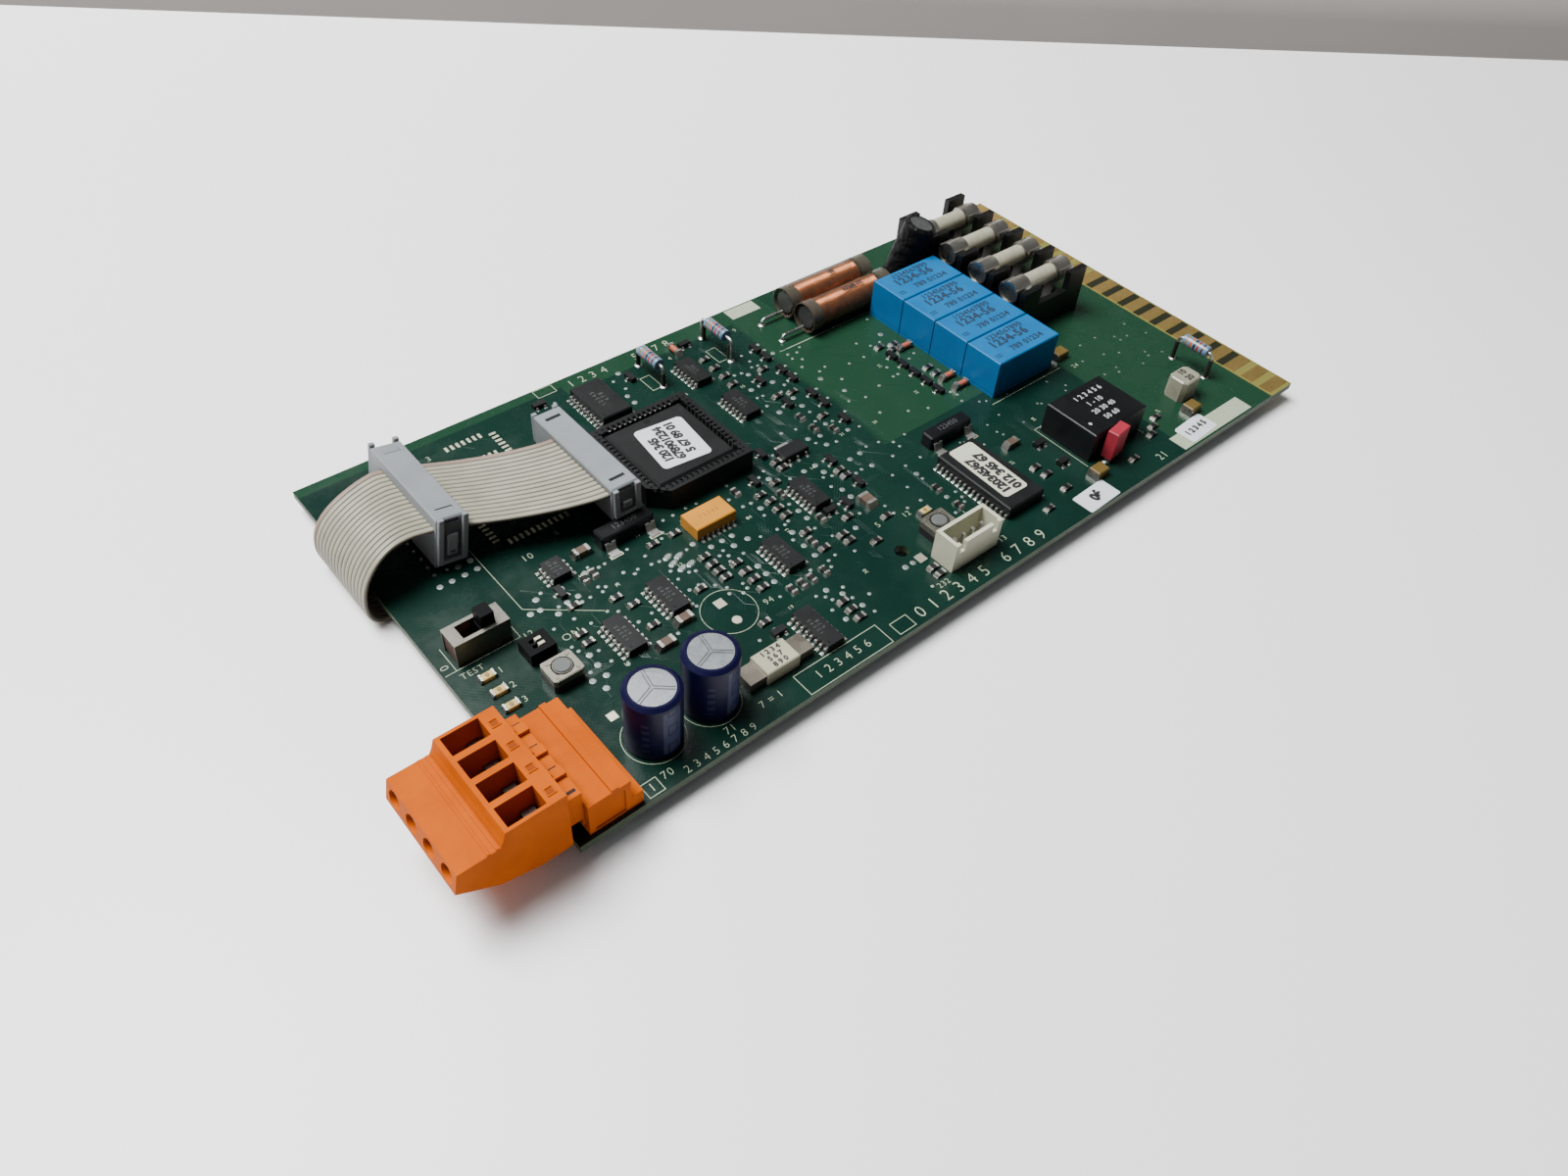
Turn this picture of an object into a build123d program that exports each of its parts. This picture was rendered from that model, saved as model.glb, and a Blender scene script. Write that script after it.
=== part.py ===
import os
from math import cos, radians, sin

from build123d import *

# Equipment control board: a printed circuit board with relays, a fuse block, a wire plug and a ribbon cable.
# Lengths are millimetres. Places are measured from the board's front left corner on its top face:
# x along the long edge, y to the back edge, heights above the top face.

# The board and what passes through it
board_length = 198.0
board_width = 100.0
board_thickness = 1.6
lead_tail = 3.0
lead_radius = 0.4
hole_clearance = 0.05
slip = 0.05
tooling_hole_radius = 1.5
tooling_hole = (84.9, 15.9)

# Wire plug and its header
pole_count = 4
pole_pitch = 5.08
plug_reach = 19.8
header_left = 2.45
header_depth = 7.85
header_height = 7.7
header_front = 0.8
header_wall = 0.9
flange_depth = 2.2
flange_height = 3.2
blade = 1.0
clamp_window = 3.9
wire_entry_radius = 1.6

# Ribbon cable and its sockets
conductor_count = 16
conductor_pitch = 1.27
ribbon_thickness = 0.9
socket_width = 6.1
plugged_socket_margin = 7.25
loose_socket_margin = 4.95
pin_pitch = 2 * conductor_pitch
pin_side = 0.64

# Sealed relays
relay_count = 4
relay_pitch = 10.16
relay_length = 20.0
relay_width = 9.9
relay_height = 9.3
relay_front = 38.2
relay_right_margin = 42.5

# Fuse block
fuse_count = 4
fuse_pitch = 10.16
fuse_radius = 2.5
fuse_length = 20.0
fuse_cap_length = 5.2
fuse_axis = 9.3
fuse_wall = 1.5
fuse_block_length = 22.5
fuse_block_base = 2.2
fuse_block_right_margin = 18.0
fuse_block_back_margin = 7.0
clip_gauge = 0.4
clip_length = 4.4

# Edge contacts
contact_pitch = 5.0
contact_width = 3.0
contact_length = 7.3
contact_thickness = 0.08

# Capacitor cans
large_can_radius = 5.0
large_can_height = 13.3
small_can_radius = 4.0
small_can_height = 15.5
sleeve_gauge = 0.15

# Chip carrier and its socket
carrier_size = 19.1
carrier_wall = 2.0
carrier_height = 4.9
carrier_contacts = 13
surface_pitch = 1.27

# Worked out from the sizes above
board_top = lead_tail + board_thickness
centre_x = (board_length - plug_reach) / 2
centre_y = board_width / 2
plug_width = pole_count * pole_pitch
header_back = header_front + plug_width
header_right = header_left + header_depth
pole_places = [header_front + pole_pitch * (n + 0.5) for n in range(pole_count)]
ribbon_width = (conductor_count - 1) * conductor_pitch + ribbon_thickness
plugged_socket_length = ribbon_width + plugged_socket_margin
loose_socket_length = ribbon_width + loose_socket_margin
relay_left = board_length - relay_right_margin - relay_length
fuse_left = board_length - fuse_block_right_margin - fuse_block_length
fuse_right = fuse_left + fuse_block_length
fuse_block_width = fuse_count * fuse_pitch + fuse_wall
fuse_back = board_width - fuse_block_back_margin
fuse_rows = [fuse_back - fuse_wall / 2 - fuse_pitch * (n + 0.5) for n in range(fuse_count)]

drilled = []
leads = []


def deck(height):
    # Plane at a height above the board, with the board's own x and y
    return Plane(origin=(-centre_x, -centre_y, board_top + height))


def from_front(y):
    # Upright plane at y, drawn in x and height, that extrudes towards the front edge
    return Plane(origin=(-centre_x, y - centre_y, board_top), x_dir=(1, 0, 0), z_dir=(0, -1, 0))


def from_right(x):
    # Upright plane at x, drawn in y and height, that extrudes to the right
    return Plane(origin=(x - centre_x, -centre_y, board_top), x_dir=(0, 1, 0), z_dir=(1, 0, 0))


def spot(x, y, height=0.0, turn=0.0):
    # Place on the board, for a whole solid
    return Location((x - centre_x, y - centre_y, board_top + height), (0, 0, turn))


def through_lead(x, y, top=0.0, radius=lead_radius):
    # A round lead from a height down through the board, with its drilled hole
    drilled.append((x, y, radius + hole_clearance))
    leads.append((x, y, top, radius))


def save(piece, name):
    piece.part.label = name
    export_step(piece.part, f"parts/{name}.step")


def blocks(places, length, width, height, base=0.0, edge=0.0):
    # Plain rectangular bodies standing on the board, with softened top edges
    with BuildPart() as piece:
        with BuildSketch(deck(base)):
            with Locations(*places):
                Rectangle(length, width)
        extrude(amount=height)
        if edge:
            chamfer(piece.faces().filter_by(Axis.Z).group_by(Axis.Z)[-1].edges(), edge)
    return piece


os.makedirs("parts", exist_ok=True)

# Wire plug: the moulded body leans back over the left edge, with a window and a wire entry for each pole
plug_top = 14.3
plug_right = -0.6
tongue_tip = header_right - 2.6
tongue_low = 1.9
tongue_high = header_height - header_wall - 0.2
window_left = -10.0
window_right = -3.6
window_floor = 8.2
pin_height = (tongue_low + tongue_high) / 2
tail_x = header_right - 0.9
half_slot = blade / 2 + slip

with BuildPart() as terminal_plug:
    with BuildSketch(from_front(header_back)):
        with BuildLine():
            Polyline(
                (-plug_reach, 7.0), (-18.9, 11.4), (-11.9, 11.4), (-11.3, 12.7), (-10.8, plug_top),
                (plug_right, plug_top), (plug_right, 0.5), (-6.0, 0.4), (-13.0, 2.3), close=True,
            )
        make_face()
    extrude(amount=plug_width)
    with BuildSketch(from_front(header_back - 1.0)):
        with Locations(((plug_right + header_left) / 2 - 0.1, 7.4)):
            Rectangle(header_left - plug_right - 0.2, 7.0)
    extrude(amount=plug_width - 2.0)
    with BuildSketch(from_front(header_back - header_wall - 0.2)):
        with Locations(((header_left + tongue_tip) / 2 - 0.2, pin_height)):
            Rectangle(tongue_tip - header_left + 0.4, tongue_high - tongue_low)
    extrude(amount=plug_width - 2 * header_wall - 0.4)
    with BuildSketch(deck(plug_top)):
        with Locations(*[((window_left + window_right) / 2, y) for y in pole_places]):
            Rectangle(window_right - window_left, clamp_window)
    extrude(amount=window_floor - plug_top, mode=Mode.SUBTRACT)
    with BuildSketch(from_right(window_left + 0.5)):
        with Locations(*[(y, 9.2) for y in pole_places]):
            Circle(wire_entry_radius)
    extrude(amount=-(plug_reach + window_left + 1.0), mode=Mode.SUBTRACT)
    with BuildSketch(from_right(header_left)):
        with Locations(*[(y, pin_height) for y in pole_places]):
            Rectangle(blade + 4 * slip, blade + 4 * slip)
    extrude(amount=header_depth, mode=Mode.SUBTRACT)
save(terminal_plug, "terminal_plug")

with BuildPart() as plug_clamps:
    with BuildSketch(deck(window_floor)):
        with Locations(*[(window_right - 1.6, y) for y in pole_places]):
            Rectangle(2.2, clamp_window - 2 * slip)
    extrude(amount=1.6)
save(plug_clamps, "plug_clamps")

with BuildPart() as terminal_pins:
    for y in pole_places:
        with BuildSketch(from_front(y + blade / 2)):
            with BuildLine():
                Polyline(
                    (header_left + 1.0, pin_height - blade / 2), (header_left + 1.0, pin_height + blade / 2),
                    (tail_x + blade / 2, pin_height + blade / 2), (tail_x + blade / 2, -board_top),
                    (tail_x - blade / 2, -board_top), (tail_x - blade / 2, pin_height - blade / 2),
                    close=True,
                )
            make_face()
        extrude(amount=blade)
        drilled.append((tail_x, y, blade * 0.71 + hole_clearance))
save(terminal_pins, "terminal_pins")

with BuildPart() as terminal_header:
    with BuildSketch(from_front(header_back)):
        with Locations((header_left + header_depth / 2, header_height / 2)):
            Rectangle(header_depth, header_height)
        with Locations((header_right + flange_depth / 2, flange_height / 2)):
            Rectangle(flange_depth, flange_height)
        with Locations((header_right - 2.9, header_height)):
            Rectangle(1.2, 1.0)
    extrude(amount=plug_width)
    with BuildSketch(from_front(header_back - header_wall)):
        with Locations(((header_left + tongue_tip + 0.2) / 2, pin_height)):
            Rectangle(tongue_tip + 0.2 - header_left, tongue_high - tongue_low + 0.4)
    extrude(amount=plug_width - 2 * header_wall, mode=Mode.SUBTRACT)
    with BuildSketch(from_front(header_front + 0.25)):
        with Locations((header_left + 4.0, 3.4)):
            Rectangle(5.6, 5.6)
    extrude(amount=0.25, mode=Mode.SUBTRACT)
    for y in pole_places:
        with BuildSketch(from_front(y + half_slot)):
            with BuildLine():
                Polyline(
                    (header_left, pin_height - half_slot), (header_left, pin_height + half_slot),
                    (tail_x + half_slot, pin_height + half_slot), (tail_x + half_slot, -1.0),
                    (tail_x - half_slot, -1.0), (tail_x - half_slot, pin_height - half_slot), close=True,
                )
            make_face()
        extrude(amount=blade + 2 * slip, mode=Mode.SUBTRACT)
save(terminal_header, "terminal_header")

# Ribbon cable: one flat band from the plugged socket through the loose one,
# round the left edge and under the board
plugged_x = 46.75
band_height = 8.5
under_height = -board_thickness - 0.5 - ribbon_thickness / 2
band_stations = [
    (plugged_x + socket_width / 2 - 0.4, 64.5, band_height),
    (plugged_x - socket_width / 2, 64.5, band_height),
    (37.0, 66.8, 7.8),
    (31.0, 69.3, 7.4),
    (25.0, 71.7, 7.5),
    (19.6, 73.7, 8.1),
    (12.4, 75.3, 9.3),
    (7.0, 74.3, 8.7),
    (2.0, 72.6, 7.5),
]
band_end = band_stations[-1]
under_end = 14.4
wire_columns = [under_end - 1.2 - pin_pitch, under_end - 1.2]
wire_rows = [pin_pitch * (n - (conductor_count / 2 - 1) / 2) for n in range(conductor_count // 2)]
wire_places = [(x, band_end[1] + y) for x in wire_columns for y in wire_rows]
wire_radius = 0.35
for x, y in wire_places:
    drilled.append((x, y, wire_radius + hole_clearance))


def band(stations, width, thickness, mode=Mode.ADD):
    # Flat band of one width, passing level through each station
    sections = []
    for x, y, height in stations:
        with BuildSketch(from_right(x)) as section:
            with Locations((y, height)):
                Rectangle(width, thickness)
        sections.append(section.sketch.face())
    for near, far in zip(sections, sections[1:]):
        loft([near, far], ruled=True, mode=mode)


with BuildPart() as ribbon_cable:
    band(band_stations, ribbon_width, ribbon_thickness)
    with BuildSketch(from_front(band_end[1] + ribbon_width / 2)):
        with BuildLine() as bend:
            FilletPolyline(
                (band_end[0], band_end[2]), (-3.0, 6.6), (-3.0, under_height), (under_end, under_height),
                radius=[3.4, 3.6],
            )
        trace(bend.line, line_width=ribbon_thickness)
    extrude(amount=ribbon_width)
    with BuildSketch(deck(under_height)):
        with Locations(*wire_places):
            Circle(wire_radius)
    extrude(amount=0.3 - under_height)
save(ribbon_cable, "ribbon_cable")

# Cable sockets: each is a body with sixteen contacts below the band, and a cover pressed on above it
header_base = 2.5
socket_height = 7.8
plugged_seam = 5.9
loose_seam = 8.0
loose_height = 11.0
cover_gap = 0.12
cavity = (1.7, 1.1)
cavity_depth = 4.3
contact_gauge = 0.4
lean = 10.0
socket_pins = [
    (pin_pitch * (column - 0.5), pin_pitch * (row - (conductor_count / 2 - 1) / 2))
    for column in (0, 1) for row in range(conductor_count // 2)
]
plugged_offset = -3.0
loose_offset = -1.6
plugged_place = spot(plugged_x, band_stations[0][1] - plugged_offset, header_base + slip)
loose_place = spot(14.4, 76.8, socket_width / 2 * sin(radians(lean)) + slip)
loose_place = loose_place * Location((0, 0, 0), (0, lean, 0))
sockets = [
    (plugged_place, plugged_socket_length, plugged_offset, plugged_seam, socket_height),
    (loose_place, loose_socket_length, loose_offset, loose_seam, loose_height),
]


def socket_body(length, offset, height):
    with BuildPart() as body:
        with BuildSketch():
            Rectangle(socket_width, length)
        extrude(amount=height)
        with BuildSketch():
            with Locations(*[(x, y + offset) for x, y in socket_pins]):
                Rectangle(*cavity)
        extrude(amount=cavity_depth, mode=Mode.SUBTRACT)
    return body.part


def socket_cover(length, low, high):
    with BuildPart() as cover:
        with BuildSketch(Plane.XY.offset(low)):
            Rectangle(socket_width, length)
        extrude(amount=high - low)
        chamfer(cover.faces().sort_by(Axis.Z)[-1].edges(), 0.3)
        with BuildSketch(Plane.XY.offset(high)):
            with Locations(*[(0, side * (length / 2 - 2.6)) for side in (-1, 1)]):
                Rectangle(3.4, 0.9)
        extrude(amount=-0.6, mode=Mode.SUBTRACT)
        with BuildSketch(Plane.XZ.offset(length / 2)):
            with Locations((0, (low + high) / 2)):
                Rectangle(2.8, high - low - 1.4)
        extrude(amount=-0.5, mode=Mode.SUBTRACT)
    return cover.part


def socket_contacts(offset):
    beside = (pin_side + contact_gauge) / 2 + slip
    with BuildPart() as contacts:
        with BuildSketch(Plane.XY.offset(0.6)):
            with Locations(*[(x + beside, y + offset) for x, y in socket_pins]):
                Rectangle(contact_gauge, cavity[1] - 2 * slip)
        extrude(amount=cavity_depth - 0.6 - slip)
    return contacts.part


with BuildPart() as cable_sockets:
    for place, length, offset, seam, top in sockets:
        with Locations(place):
            add(socket_body(length, offset, seam - slip))
    band(band_stations, ribbon_width + 2 * cover_gap, ribbon_thickness + 2 * cover_gap, Mode.SUBTRACT)
save(cable_sockets, "cable_sockets")

with BuildPart() as socket_covers:
    for place, length, offset, seam, top in sockets:
        with Locations(place):
            add(socket_cover(length, seam + slip, top))
    band(band_stations, ribbon_width + 2 * cover_gap, ribbon_thickness + 2 * cover_gap, Mode.SUBTRACT)
save(socket_covers, "socket_covers")

with BuildPart() as fork_contacts:
    for place, length, offset, seam, top in sockets:
        with Locations(place):
            add(socket_contacts(offset))
save(fork_contacts, "fork_contacts")

header_pin_places = [(plugged_x + x, band_stations[0][1] + y) for x, y in socket_pins]
header_pin_top = header_base + cavity_depth - 0.2
header_length = conductor_count / 2 * pin_pitch
for x, y in header_pin_places:
    drilled.append((x, y, pin_side * 0.71 + hole_clearance))

with BuildPart() as pin_header:
    with BuildSketch(deck(0)):
        with Locations((plugged_x, band_stations[0][1])):
            Rectangle(2 * pin_pitch, header_length)
        with Locations(*header_pin_places):
            Rectangle(pin_side + 2 * slip, pin_side + 2 * slip, mode=Mode.SUBTRACT)
    extrude(amount=header_base)
save(pin_header, "pin_header")

with BuildPart() as header_pins:
    with BuildSketch(deck(-board_top)):
        with Locations(*header_pin_places):
            Rectangle(pin_side, pin_side)
    extrude(amount=board_top + header_pin_top)
save(header_pins, "header_pins")

# Slide switch: a folded steel can over a moulded base, with the slider's knob through the can's slot
can_left = 3.3
can_length = 10.8
can_front = 42.2
can_depth = 4.9
can_height = 5.2
can_gauge = 0.35
knob_length = 2.6
knob_depth = 2.9
knob_top = 7.8
slide_travel = 3.6
slot_left = can_left + 2.2
slot_length = knob_length + slide_travel + 0.2
knob_x = slot_left + slot_length - 0.1 - knob_length / 2
can_y = can_front + can_depth / 2
base_floor = 1.6
base_wall = 1.2
inner_depth = can_depth - 2 * can_gauge - 2 * slip
inner_length = can_length - 0.4
inner_x = can_left + can_length / 2

with BuildPart() as slide_switch_can:
    with BuildSketch(from_right(can_left)):
        with Locations((can_y, can_height / 2)):
            Rectangle(can_depth, can_height)
        with Locations((can_y, (can_height - can_gauge) / 2)):
            Rectangle(can_depth - 2 * can_gauge, can_height - can_gauge, mode=Mode.SUBTRACT)
    extrude(amount=can_length)
    with BuildSketch(deck(can_height)):
        with Locations((slot_left + slot_length / 2, can_y)):
            Rectangle(slot_length, knob_depth + 0.4)
    extrude(amount=-can_gauge, mode=Mode.SUBTRACT)
save(slide_switch_can, "slide_switch_can")

with BuildPart() as slide_switch_base:
    with BuildSketch(from_front(can_y + inner_depth / 2)):
        with Locations((inner_x, (can_height - can_gauge - slip) / 2)):
            Rectangle(inner_length, can_height - can_gauge - slip)
        with Locations((inner_x, base_floor + can_height / 2)):
            Rectangle(inner_length - 2 * base_wall, can_height, mode=Mode.SUBTRACT)
    extrude(amount=inner_depth)
save(slide_switch_base, "slide_switch_base")

with BuildPart() as slide_actuator:
    with BuildSketch(deck(base_floor + 0.1)):
        with Locations((knob_x, can_y)):
            Rectangle(knob_length + 0.3, inner_depth - 0.3)
    extrude(amount=can_height - can_gauge - base_floor - 0.3)
    with BuildSketch(deck(base_floor + 0.1)):
        with Locations((knob_x, can_y)):
            Rectangle(knob_length, knob_depth)
    extrude(amount=knob_top - base_floor - 0.1)
save(slide_actuator, "slide_actuator")
for n in range(3):
    through_lead(inner_x + 3.0 * (n - 1), can_y, radius=0.35)

# Two-way code switch: each slider runs in its own slot
code_x = 15.8
code_y = 36.7
code_length = 5.2
code_depth = 4.4
code_height = 2.8
code_travel = 1.0
code_slider = 1.2
code_slot = code_slider + code_travel + 0.2
code_rows = [code_y + pin_pitch / 4, code_y - pin_pitch / 4]
slider_x = code_x + code_slot / 2 - code_slider / 2 - 0.1

with BuildPart() as code_switch_body:
    with BuildSketch(deck(0)):
        with Locations((code_x, code_y)):
            Rectangle(code_length, code_depth)
    extrude(amount=code_height)
    with BuildSketch(deck(code_height)):
        with Locations(*[(code_x, y) for y in code_rows]):
            Rectangle(code_slot, 0.8)
    extrude(amount=-1.1, mode=Mode.SUBTRACT)
save(code_switch_body, "code_switch_body")

for n, y in enumerate(code_rows):
    with BuildPart() as code_slider_piece:
        with BuildSketch(deck(code_height - 1.0)):
            with Locations((slider_x, y)):
                Rectangle(code_slider, 0.6)
        extrude(amount=1.2)
    save(code_slider_piece, f"code_slider_{n + 1}")

# Push switches: a square body with a sprung round button
push_side = 6.1
push_depth = 5.2
push_height = 3.1
button_radius = 1.6
button_rise = 0.45
button_travel = 0.25
push_places = {"wake": (16.2, 29.4), "service": (94.3, 15.5)}

with BuildPart() as push_switches:
    with BuildSketch(deck(0)):
        with Locations(*push_places.values()):
            Rectangle(push_side, push_depth)
    extrude(amount=push_height)
    chamfer(push_switches.edges().filter_by(Axis.Z), 0.5)
    with BuildSketch(deck(push_height)):
        with Locations(*push_places.values()):
            Circle(button_radius + slip)
    extrude(amount=-1.5, mode=Mode.SUBTRACT)
save(push_switches, "push_switches")

for name, place in push_places.items():
    with BuildPart() as button:
        with BuildSketch(deck(push_height - 1.5 + button_travel + 0.1)):
            with Locations(place):
                Circle(button_radius)
        extrude(amount=1.4 - button_travel + button_rise)
        chamfer(button.faces().sort_by(Axis.Z)[-1].edges(), 0.15)
    save(button, f"{name}_button")

# Indicator lamps
indicators = blocks([(5.95, 37.1), (5.95, 33.2), (5.95, 29.3), (96.2, 20.9)], 2.8, 1.5, 0.9, edge=0.15)
save(indicators, "indicator_lamps")

# Capacitor cans with their shrunk sleeves
large_cans = [(21.1, 9.9), (33.0, 10.1)]
small_can = (151.3, 85.7)
small_lean = 15.5
small_lean_turn = -41.0
lead_spread = 2.5


def can_body(radius, height):
    with BuildPart() as can:
        with BuildSketch(Plane.XZ):
            with BuildLine():
                Polyline(
                    (0, 0.1), (radius, 0.1), (radius, height - 0.55), (radius - 0.6, height - 0.1),
                    (0, height - 0.1), close=True,
                )
            make_face()
        revolve(axis=Axis.Z)
    return can.part


def can_sleeve(radius, height):
    with BuildPart() as sleeve:
        with BuildSketch(Plane.XZ):
            with BuildLine():
                Polyline(
                    (radius - sleeve_gauge, 0.3), (radius, 0.3), (radius, height - 0.55),
                    (radius - 0.65, height), (radius - 1.1, height), (radius - 1.1, height - 0.1 + slip),
                    (radius - 0.75, height - 0.1 + slip), (radius - sleeve_gauge, height - 0.55), close=True,
                )
            make_face()
        revolve(axis=Axis.Z)
    return sleeve.part


small_can_place = spot(*small_can, small_can_radius * sin(radians(small_lean)), small_lean_turn)
small_can_place = small_can_place * Location((0, 0, 0), (0, small_lean, 0))

with BuildPart() as capacitor_cans:
    with Locations(*[spot(x, y) for x, y in large_cans]):
        add(can_body(large_can_radius - sleeve_gauge - slip, large_can_height))
    with Locations(small_can_place):
        add(can_body(small_can_radius - sleeve_gauge - slip, small_can_height))
save(capacitor_cans, "capacitor_cans")

with BuildPart() as blue_sleeves:
    with Locations(*[spot(x, y) for x, y in large_cans]):
        add(can_sleeve(large_can_radius, large_can_height))
save(blue_sleeves, "blue_sleeves")

with BuildPart() as black_sleeve:
    with Locations(small_can_place):
        add(can_sleeve(small_can_radius, small_can_height))
save(black_sleeve, "black_sleeve")

for x, y in large_cans:
    for side in (-1, 1):
        through_lead(x, y + side * lead_spread)
for side in (-1, 1):
    across = radians(small_lean_turn + 90)
    foot = side * lead_spread / 2
    through_lead(small_can[0] + foot * cos(across), small_can[1] + foot * sin(across), radius=0.3)

# Small fuse holder: a moulded body with a spring clip at each end
holder_x = 46.6
holder_y = 9.0
holder_length = 7.3
holder_depth = 5.0
holder_clip = 3.6
save(blocks([(holder_x, holder_y)], holder_length, holder_depth, 3.0, edge=0.2), "small_fuse_holder")
clip_offset = (holder_length + holder_clip) / 2
clip_places = [(holder_x - clip_offset, holder_y), (holder_x + clip_offset, holder_y)]
small_clips = blocks(clip_places, holder_clip, 4.2, 2.2)
save(small_clips, "small_fuse_clips")

# Chip carrier: a socket with one corner cut, sprung contacts along its four inner walls,
# and the square chip in it
socket_centre = (64.7, 64.0)
socket_floor = 1.3
socket_rim = 5.0
carrier_gap = 0.55
well = carrier_size + 2 * carrier_gap
carrier_socket_size = well + 2 * carrier_wall
contact_slot = 0.7
contact_depth = 0.9
contact_rows = [surface_pitch * (n - (carrier_contacts - 1) / 2) for n in range(carrier_contacts)]
wall_offset = well / 2 + contact_depth / 2
well_contacts = [(side * wall_offset, row, 0) for side in (-1, 1) for row in contact_rows]
well_contacts += [(row, side * wall_offset, 90) for side in (-1, 1) for row in contact_rows]

with BuildPart() as carrier_socket:
    with BuildSketch(deck(0)):
        with Locations(socket_centre):
            Rectangle(carrier_socket_size, carrier_socket_size)
    extrude(amount=socket_rim)
    corner = carrier_socket.edges().filter_by(Axis.Z).group_by(Axis.X)[0].sort_by(Axis.Y)[0]
    chamfer(corner, 3.6)
    with BuildSketch(deck(socket_floor)):
        with Locations(socket_centre):
            Rectangle(well, well)
    extrude(amount=socket_rim, mode=Mode.SUBTRACT)
    with BuildSketch(deck(0)):
        for x, y, turn in well_contacts:
            with Locations((socket_centre[0] + x, socket_centre[1] + y)):
                Rectangle(contact_depth, contact_slot, rotation=turn)
    extrude(amount=socket_rim, mode=Mode.SUBTRACT)
save(carrier_socket, "carrier_socket")

with BuildPart() as carrier_contacts_set:
    with BuildSketch(deck(0)):
        for x, y, turn in well_contacts:
            with Locations((socket_centre[0] + x, socket_centre[1] + y)):
                Rectangle(contact_depth - 0.3, contact_slot - 4 * slip, rotation=turn)
    extrude(amount=socket_rim - 0.5)
save(carrier_contacts_set, "carrier_contacts")

carrier_body = carrier_height - socket_floor
carrier_chip = blocks([socket_centre], carrier_size, carrier_size, carrier_body, socket_floor, 0.5)
save(carrier_chip, "carrier_chip")

# Surface chips: small outline bodies with bent leads along both long sides
lead_foot = 1.05
chip_top = 1.75
narrow_body = 3.9
narrow_chips = [
    (86.1, 84.2, 7), (87.5, 68.9, 7), (29.6, 30.3, 7), (41.3, 33.2, 7), (65.2, 28.7, 7), (80.6, 38.6, 7),
    (58.0, 10.5, 8), (28.6, 50.9, 4),
]
wide_body = 7.4
wide_chip = (63.3, 86.8, 10)
memory_body = 10.4
memory_chip = (113.7, 19.4, 16)
network_body = 5.4
network_x = 59.5
network_y = 44.5
network_leads = 7
regulator_body = 3.5
regulator = (86.3, 50.6)
trio_length = 2.9
trio_body = 1.35
trio_pitch = 1.9
left_pairs = [(91.4, 43.9), (96.7, 73.4), (85.2, 32.2)]
left_singles = [(103.4, 83.3), (103.4, 79.5), (103.3, 73.7), (103.3, 70.1), (103.2, 63.2), (103.1, 59.2)]
left_singles += [(103.1, 52.4), (91.5, 35.4), (96.5, 63.6), (74.0, 91.2), (74.3, 48.3), (80.8, 54.0)]
left_singles += [(26.4, 46.0)]
left_singles += [(127.4 + 0.05 * n, 47.4 + 3.85 * n) for n in range(5)]
front_pairs = [(52.6, 94.6), (91.1, 94.2), (81.0, 32.6), (52.2, 14.5), (131.6, 21.0), (131.2, 14.0)]


def side_leads(x, y, width, count, pitch, sides=(-1, 1)):
    # Places of the leads along the two sides of a body, each turned to point outwards
    places = []
    for side in sides:
        for n in range(count):
            row = y + pitch * (n - (count - 1) / 2)
            places.append(spot(x + side * width / 2, row, 0, 0 if side > 0 else 180))
    return places


with BuildPart() as narrow_chip_set:
    for x, y, count in narrow_chips:
        with BuildSketch(deck(0.15)):
            with Locations((x, y)):
                Rectangle(narrow_body, surface_pitch * count - 0.2)
        extrude(amount=chip_top - 0.15)
save(narrow_chip_set, "narrow_chips")

x, y, count = wide_chip
save(blocks([(x, y)], wide_body, surface_pitch * count, 2.4, 0.15, 0.25), "wide_chip")
x, y, count = memory_chip
save(blocks([(x, y)], memory_body, surface_pitch * count, 2.7, 0.15, 0.25), "memory_chip")
save(blocks([regulator], 6.5, regulator_body, 1.6, 0.05, 0.15), "regulator")
network_length = surface_pitch * network_leads + 0.6
save(blocks([(network_x, network_y)], network_length, network_body, 2.85, 0.15, 0.2), "resistor_network")

with BuildPart() as small_transistors:
    with BuildSketch(deck(0.1)):
        with Locations(*(left_pairs + left_singles)):
            Rectangle(trio_body, trio_length)
        with Locations(*front_pairs):
            Rectangle(trio_length, trio_body)
    extrude(amount=0.95)
save(small_transistors, "small_transistors")

with BuildPart() as bent_lead:
    with BuildSketch(Plane.XZ.offset(-0.21)):
        Polygon(
            (0, 0.72), (0, 0.88), (0.42, 0.88), (0.66, 0.16), (lead_foot, 0.16), (lead_foot, 0), (0.52, 0),
            (0.28, 0.72), align=None,
        )
    extrude(amount=0.42)

with BuildPart() as short_lead:
    with BuildSketch(Plane.XZ.offset(-0.22)):
        Polygon((0, 0.4), (0, 0.55), (0.3, 0.55), (0.42, 0.14), (0.62, 0.14), (0.62, 0), (0.3, 0), align=None)
    extrude(amount=0.44)

long_lead_places = []
for x, y, count in narrow_chips:
    long_lead_places += side_leads(x, y, narrow_body, count, surface_pitch)
long_lead_places += side_leads(*wide_chip[:2], wide_body, wide_chip[2], surface_pitch)
long_lead_places += side_leads(*memory_chip[:2], memory_body, memory_chip[2], surface_pitch)
for n in range(network_leads):
    for side in (-1, 1):
        foot_x = network_x + surface_pitch * (n - (network_leads - 1) / 2)
        long_lead_places.append(spot(foot_x, network_y + side * network_body / 2, 0, 90 * side))
for n in (-1, 0, 1):
    long_lead_places.append(spot(regulator[0] + 2.3 * n, regulator[1] - regulator_body / 2, 0, -90))
short_lead_places = []
for x, y in left_pairs:
    short_lead_places += side_leads(x, y, trio_body, 2, trio_pitch, (-1,))
    short_lead_places += side_leads(x, y, trio_body, 1, 0, (1,))
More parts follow.
